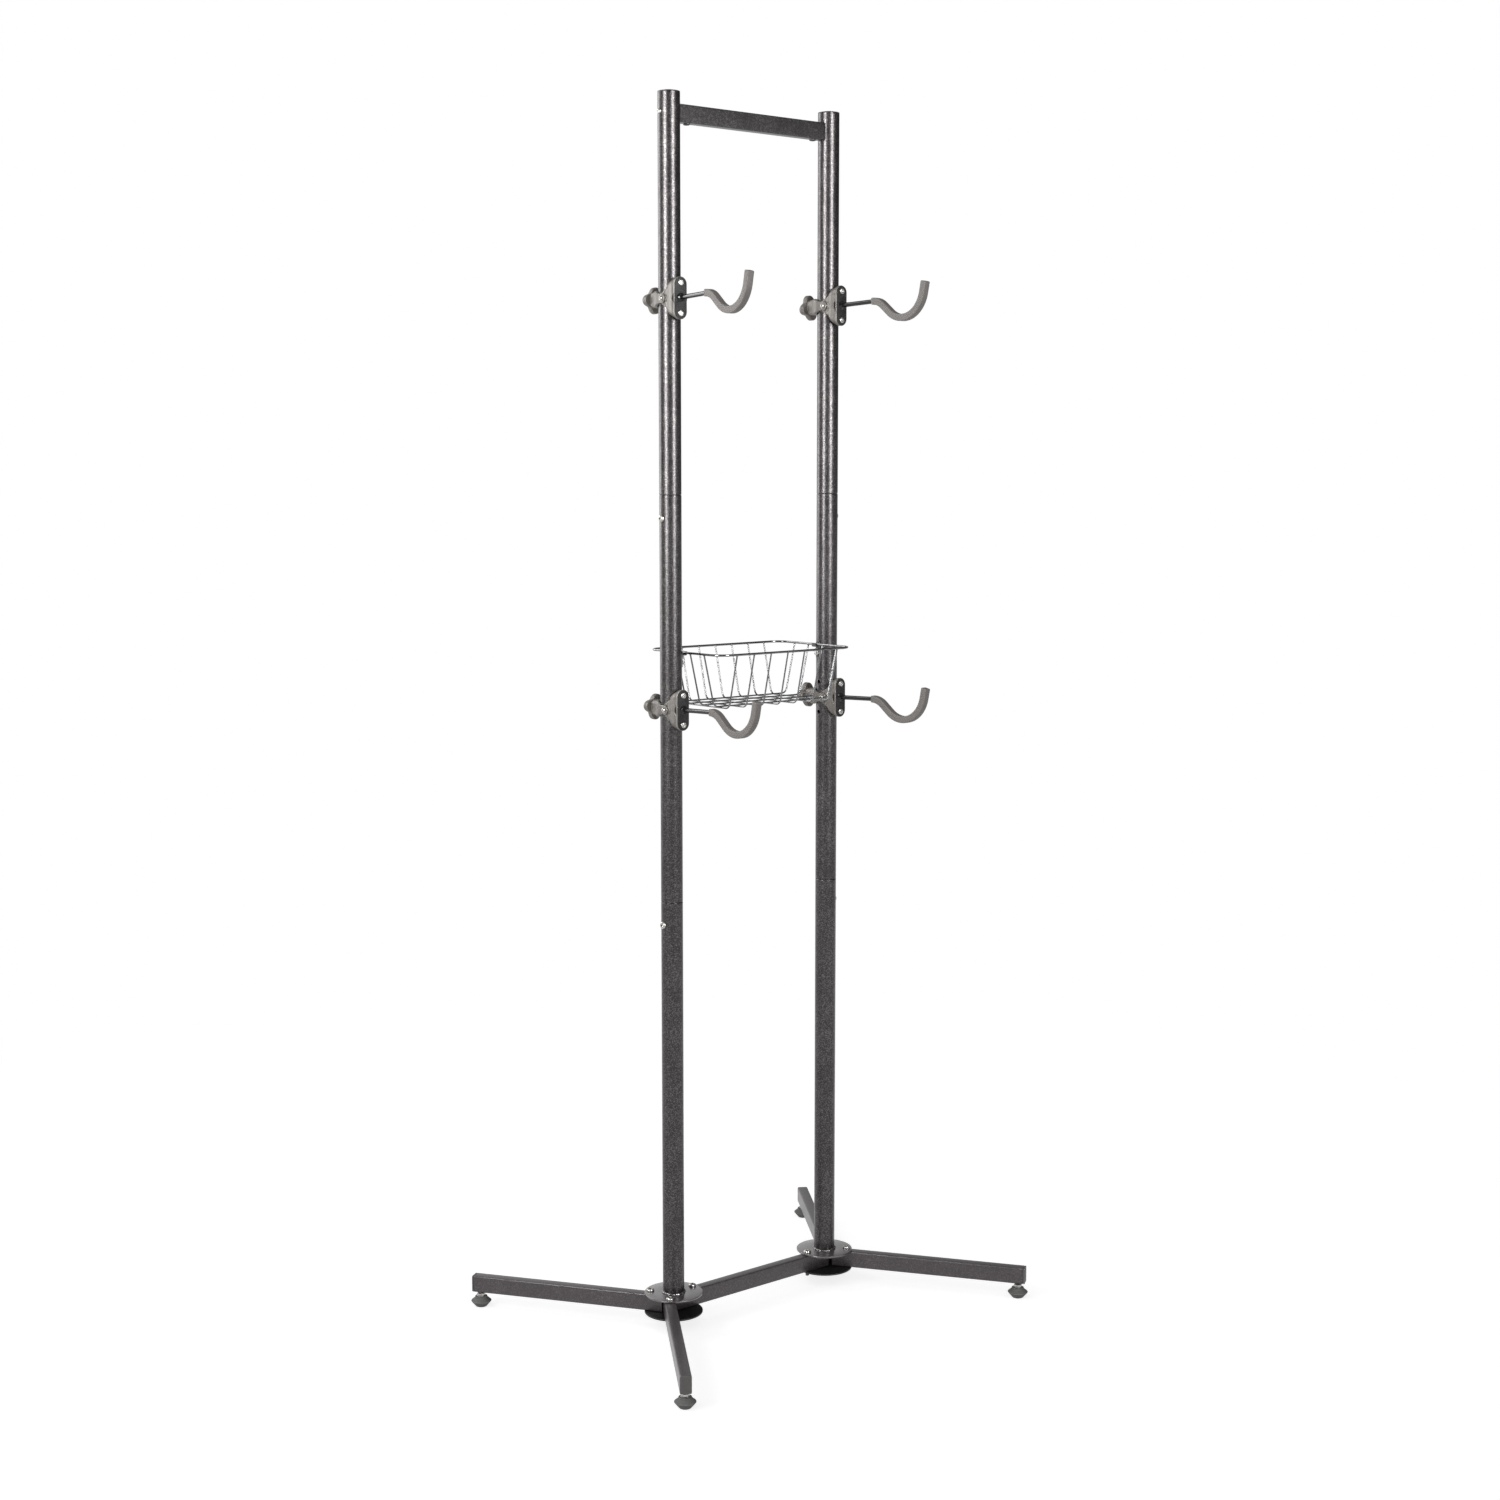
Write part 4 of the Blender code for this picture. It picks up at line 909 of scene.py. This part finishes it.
def oval_slab(back, front, edge, inset=0.0):
    """Stadium slab facing -Y: rings of its outline, drawn in along a quarter circle at the front."""
    rows = [(back, inset + 0.0004), (back + 0.0003, inset),
            *rounding((front - edge, inset + edge), edge, -90, 0, 4)]
    return skin(rings_y([(-y, stadium(PLATE_HALF_WIDTH - cut, PLATE_HALF_HEIGHT - cut)) for y, cut in rows]))


plate = oval_slab(FLANGE_FRONT + GAP, PLATE_FRONT - 0.0009, 0.0007)
facing = oval_slab(PLATE_FRONT - 0.0012, PLATE_FRONT, 0.0006, 0.0005)
# Painted shade: the black boss stands partly for the weld and partly for the shade round the rod's root.
boss_and_root_shade = skin(lathe([(0.0040, 0.0042), (0.0048, 0.0034), (0.0056, 0.0022), (0.0066, 0.0010), (0.0076, 0.0003),
                   (0.0076, -0.0006)], 48))
rod = joined(skin(carried(rod_path, (1, 0, 0), ring_outline(ROD_RADIUS))),
             moved(boss_and_root_shade, shift(0, -PLATE_FRONT, ROD_START[1] + 0.0001) @ turn(90, "X")))
plate_screw = button_bolt(PLATE_SCREW, 0.006, 0.0008, 0.005)
plate_screws = joined(*[moved(plate_screw, shift(0, -PLATE_FRONT - 0.0001, z) @ turn(90, "X"))
                        for z in (-PLATE_SCREW_Z, PLATE_SCREW_Z)])
for label in CLAMPS:
    place, body = to_clamp(label), f"clamp_{label}"
    make(f"hook_rod_{label}", moved(rod, place), rod_black, body, "black_rod", f"arm_{label}")
    make(f"hook_plate_{label}", moved(plate, place), cast_grey, body, "cast_grey")
    make(f"plate_facing_{label}", moved(facing, place), hook_plate_paint, body, "black_rod")
    make(f"plate_screws_{label}", moved(plate_screws, place), steel, body, "steel")

# ---- Hook sleeves -----------------------------------------------------------------------------
# Thick square sleeves of grey rubber pushed over the bent rods, so that a frame tube rests on
# them without marks. The outer end is closed and the inner end shows the rod going in.

SLEEVE_WIDTH = 0.0122
SLEEVE_CORNER = 0.0016

sleeve_rubber = grained("grey sleeve rubber", 1300.0, color=(0.225, 0.205, 0.195), rubbed_and_highlit=(0.30, 0.28, 0.27),
                        wear_and_highlight=0.5, blotches=0.35, rough=0.62, bump=(0.00012, 0.5))


def square_sleeve():
    """The rounded square carried along the hook from its mouth to its tip: it swells over a small
    lip at the mouth, and its last rows draw in to a round-edged end. A round bore goes in first."""
    square = rounded_outline(SLEEVE_WIDTH / 2, SLEEVE_WIDTH / 2, SLEEVE_CORNER, 6)
    bore = (ROD_RADIUS + 0.0003) * square / np.linalg.norm(square, axis=1)[:, None]
    along = lengths(hook_path)
    mouth, start, end = sleeve_from, sleeve_from + 0.0012, along[-1] - 0.0016
    quarter = np.radians(np.linspace(0, 90, 5))
    rows = [(mouth + 0.010, bore), (mouth + 0.0006, bore)]
    rows += [(start - 0.0012 * np.sin(a), square * (1 - 0.18 * (1 - np.cos(a)))) for a in quarter[::-1]]
    rows += [(s, square) for s in np.linspace(start, end, 110)[1:]]
    rows += [(end + 0.0016 * np.sin(a), square * (1 - 0.26 * (1 - np.cos(a)))) for a in quarter[1:]]
    distances = np.array([s for s, _ in rows])
    heading = read_along(hook_path, distances, np.gradient(hook_path, along, axis=0))
    return skin(carried(read_along(hook_path, distances), (1, 0, 0), np.stack([line for _, line in rows]),
                        ahead=heading))


sleeve = square_sleeve()
for label in CLAMPS:
    make(f"square_sleeve_{label}", moved(sleeve, to_clamp(label)), sleeve_rubber, f"clamp_{label}",
         "sleeve_rubber", f"sleeve_{label}", crease=40)

# ---- Basket -----------------------------------------------------------------------------------
# A tray of bright chromed wire: a 4 mm rim bent to a rounded rectangle, seven cross wires welded
# to it, and four long wires laid on those. Every joint is a small spot weld.

RIM_Z = 1.201
HALF_LENGTH, HALF_WIDTH, RIM_CORNER = 0.153, 0.1005, 0.025
TRAY_Z = 1.107
TAPER = 0.022
WIRE_BEND = 0.012
RIM_WIRE, CAGE_WIRE = 0.0020, 0.0014
RIM_WELD, TRAY_WELD = 0.0024, 0.0018
WELD_UNDER_RIM, WELD_IN_RIM = 0.0014, 0.0006
CROSS_WIRES = [k * 0.0383 for k in (-3, -2, -1, 0, 1, 2, 3)]
LONG_WIRES = [k * 0.0190 for k in (-3, -1, 1, 3)]

chrome = finished("bright chromed wire", PLATED,
                  {"Color": (0.20, 0.20, 0.205, 1), "Clouded": (0.12, 0.12, 0.125, 1), "Roughness": 0.06},
                  bump=(0.00002, 0.3), Metallic=1.0)


def wire_line(half_span, floor_z):
    """Cage wire in its plane (points, 2): down the sloping wall, round the bend, and over the floor."""
    drop = RIM_Z - floor_z
    slope = np.degrees(np.arctan2(drop, TAPER))
    cut = WIRE_BEND * np.tan(np.radians(slope) / 2)
    wall = np.hypot(drop, TAPER) - cut
    half = walk((half_span, RIM_Z), slope + 180, ((wall, 0, 0), (0, WIRE_BEND, -slope)), step=6)
    return np.concatenate([half, half[::-1] * (-1, 1)])


def blob(radius, sides=10):
    """Spot weld: a low round drop, squashed along its height."""
    rows = rounding((0, 0), radius, 80, -80, 5) * (1, 0.75)
    return skin(lathe(rows, sides))


rim_line = rounded_outline(HALF_LENGTH, HALF_WIDTH, RIM_CORNER, 10)
rim_path = np.column_stack([rim_line, np.full(len(rim_line), RIM_Z)])
rim = skin(carried(rim_path, (0, 0, 1), ring_outline(RIM_WIRE, 20), closed=True), closed=True)
cross_line = wire_line(HALF_WIDTH, TRAY_Z)
long_line = wire_line(HALF_LENGTH, TRAY_Z + 2 * CAGE_WIRE - 0.0004)
wires, welds = [], []
for x in CROSS_WIRES:
    path = np.column_stack([np.full(len(cross_line), x), cross_line])
    wires.append(skin(carried(path, (1, 0, 0), ring_outline(CAGE_WIRE, 14))))
    welds += [moved(blob(RIM_WELD), shift(x, way * (HALF_WIDTH - WELD_IN_RIM), RIM_Z - WELD_UNDER_RIM))
              for way in (-1, 1)]
    welds += [moved(blob(TRAY_WELD), shift(x, y, TRAY_Z + CAGE_WIRE - 0.0002)) for y in LONG_WIRES]
for y in LONG_WIRES:
    path = np.column_stack([long_line[:, 0], np.full(len(long_line), y), long_line[:, 1]])
    wires.append(skin(carried(path, (0, 1, 0), ring_outline(CAGE_WIRE, 14))))
    welds += [moved(blob(RIM_WELD), shift(way * (HALF_LENGTH - WELD_IN_RIM), y, RIM_Z - WELD_UNDER_RIM))
              for way in (-1, 1)]
make("basket_rim", rim, chrome, "wire_basket", "chrome_wire", "basket", crease=60)
make("basket_wires", joined(*wires), chrome, "wire_basket", "chrome_wire", crease=60)
make("basket_welds", joined(*welds), chrome, "wire_basket", "chrome_wire", crease=60)

# ---- Basket brackets --------------------------------------------------------------------------
# Dark painted steel strips, bent into hooks and screwed to the posts' inner faces, each with a
# small wire ring. The rim's end wires lie in the hooks, so that the basket lifts off.

BRACKET_FOOT_Z = 1.1765
BRACKET_WIDTH = 0.010
BRACKET_SCREW = (0.0040, 0.0022, 0.0020)
BRACKET_SCREW_Z = 1.1855
EYELET_X = 0.1545
EYELET_Z = 1.1878
EYELET_RADIUS = 0.0055
EYELET_WIRE = 0.0008
STRIP = 0.0025

bracket_paint = grained("dark bracket paint", 900.0, color=(0.045, 0.045, 0.046), rubbed_and_highlit=(0.22, 0.21, 0.20),
                        wear_and_highlight=0.6, blotches=0.4, rough=0.42, bump=(0.0001, 0.5), Metallic=0.3)
seat = RIM_Z - RIM_WIRE - GAP
inner_face = POST_X - POST_RADIUS - GAP
hook_inner = HALF_LENGTH - RIM_WIRE - 0.0006
strip_section = rounded_outline(STRIP / 2, BRACKET_WIDTH / 2, 0.0005, 3)
back = inner_face - STRIP / 2
low = seat - STRIP / 2
front = hook_inner - STRIP / 2
hook_line = np.concatenate([
    [(back, seat + 0.0060), (back, seat + 0.0020)],
    rounding((back - 0.0020, low + 0.0020), 0.0020, 0, -90, 4),
    rounding((front + 0.0017, low + 0.0017), 0.0017, -90, -180, 4),
    [(front, seat + 0.0045)]])
shank_line = np.array([(back, seat - 0.001), (back, seat - 0.010), (back, BRACKET_FOOT_Z)])
eyelet_line = ring_outline(EYELET_RADIUS, 40) * (0.9, 1.15) + (0, EYELET_Z)
bracket_screw = button_bolt(BRACKET_SCREW, 0.004, 0.0008, 0.003)
for label, side in SIDES.items():
    paths = [np.column_stack([side * line[:, 0], np.zeros(len(line)), line[:, 1]])
             for line in (hook_line, shank_line)]
    strips = joined(*[skin(carried(path, (0, 1, 0), strip_section)) for path in paths])
    make(f"bracket_hook_{label}", strips, bracket_paint, "frame", "bracket_paint", f"bracket_{label}")
    loop = np.column_stack([np.full(len(eyelet_line), side * EYELET_X), eyelet_line])
    eyelet = skin(carried(loop, (1, 0, 0), ring_outline(EYELET_WIRE, 12), closed=True), closed=True)
    make(f"bracket_eyelet_{label}", eyelet, steel, "frame", "steel")
    place = shift(side * (inner_face - STRIP - 0.0001), 0, BRACKET_SCREW_Z) @ turn(-side * 90, "Y")
    make(f"bracket_screw_{label}", moved(bracket_screw, place), steel, "frame", "steel")

# ---- Floor, light and camera ------------------------------------------------------------------
# A pale studio floor that keeps the shadow, and an even white room. Three tall strip lamps are seen
# in the gloss alone, and two softboxes light the stand from the left and from behind.

FRONT_GLOSS = 0.094
FLOOR_LIFT = 0.78

floor_mesh = bpy.data.meshes.new("floor")
floor_mesh.from_pydata([(-30, -30, 0), (30, -30, 0), (30, 30, 0), (-30, 30, 0)], [], [(0, 1, 2, 3)])
placed("floor", floor_mesh)


def paint_floor(mesh):
    """Grey matt floor near the stand, lifted to white for rays from the camera, gloss and glass, which
    fades to a plain white glow farther out."""
    pale = bpy.data.materials.new("pale floor")
    pale.use_nodes = True
    tree = pale.node_tree
    tree.nodes.remove(tree.nodes["Principled BSDF"])
    rays = add(tree, "LightPath").outputs
    seen = maths(tree, "MAXIMUM", rays["Is Camera Ray"],
                 maths(tree, "MAXIMUM", rays["Is Glossy Ray"], rays["Is Transmission Ray"]))
    place = add(tree, "TexCoord").outputs["Object"]
    reach = add(tree, "VectorMath", {"operation": "LENGTH"}, _0=place).outputs["Value"]
    tone = noise(tree, place, 3.0, 2.0)
    near = add(tree, "BsdfDiffuse", Color=mix(tree, tone, (0.60, 0.60, 0.60, 1), (0.62, 0.62, 0.615, 1)))
    lift = add(tree, "Emission", Color=(1, 1, 1, 1), Strength=maths(tree, "MULTIPLY", seen, FLOOR_LIFT))
    lit = add(tree, "AddShader", _0=near.outputs[0], _1=lift.outputs[0])
    far = add(tree, "Emission", Color=(1, 1, 1, 1), Strength=maths(tree, "MAXIMUM", seen, 0.55))
    blend = add(tree, "MixShader", _0=ranged(tree, reach, 0.9, 2.6), _1=lit.outputs[0], _2=far.outputs[0])
    tree.links.new(blend.outputs[0], tree.nodes["Material Output"].inputs["Surface"])
    mesh.materials.append(pale)


def light_room():
    """White room: even for the camera, brighter from the left for the light that falls on things, and
    for gloss dark in front, white behind and faint above."""
    world = bpy.data.worlds.new("white room")
    bpy.context.scene.world = world
    world.use_nodes = True
    tree = world.node_tree
    rays = add(tree, "LightPath").outputs
    heading = add(tree, "TexCoord").outputs["Generated"]
    to_back, to_left = (
        add(tree, "VectorMath", {"operation": "DOT_PRODUCT"}, _0=heading, _1=direction).outputs["Value"]
        for direction in ((0.0, 1.0, 0.0), (-0.70, -0.64, -0.32)))
    rise = add(tree, "SeparateXYZ", Vector=heading).outputs["Z"]
    gloss = maths(tree, "MAXIMUM", ranged(tree, to_back, 0.50, 0.85, FRONT_GLOSS, 1.0),
                  ranged(tree, rise, 0.45, 0.8, 0.0, 0.3))
    fill = ranged(tree, to_left, -0.6, 0.9, 0.14, 0.80)
    level = add(tree, "Mix", {"data_type": "FLOAT"}, _0=rays["Is Glossy Ray"], _2=fill, _3=gloss).outputs[0]
    seen = maths(tree, "MAXIMUM", rays["Is Camera Ray"], rays["Is Transmission Ray"])
    background = tree.nodes["Background"].inputs
    tree.links.new(maths(tree, "MAXIMUM", level, seen), background["Strength"])
    background["Color"].default_value = (1, 1, 1, 1)


paint_floor(floor_mesh)
light_room()

# Place, width and height, power, and whether the lamp lights matt surfaces too
LAMPS = (("left strip", (-2.46, -0.43, 2.25), (0.75, 1.9), 112, False),
         ("right strip", (0.0, -2.5, 2.25), (0.75, 1.9), 110, False),
         ("back strip", (-1.0, 2.6, 2.1), (1.4, 2.3), 45, False),
         ("left softbox", (-2.6, 0.3, 1.9), (1.2, 2.0), 14, True),
         ("back softbox", (-1.3, 2.5, 3.3), (1.2, 1.2), 16, True))
for name, spot, (width, height), power, lights_all in LAMPS:
    lamp = bpy.data.lights.new(name, "AREA")
    lamp.shape, lamp.size, lamp.size_y, lamp.energy = "RECTANGLE", width, height, power
    strip = placed(name, lamp)
    aim = Vector((0, 0, 1.5 if lights_all else spot[2])) - Vector(spot)
    strip.matrix_world = shift(*spot) @ aim.to_track_quat("-Z", "Y").to_matrix().to_4x4()
    strip.visible_camera = False
    strip.visible_diffuse = lights_all
    strip.visible_glossy = name != "left softbox"

camera = placed("camera", bpy.data.cameras.new("camera"))
camera.data.lens = 54.81
camera.data.sensor_width = 36.0
camera.location = (-2.5997, -3.0934, 1.5097)
camera.rotation_euler = np.radians((90 - 6.9201, 0, -40.0186))
bpy.context.scene.camera = camera
bpy.context.scene.view_settings.view_transform = "Standard"
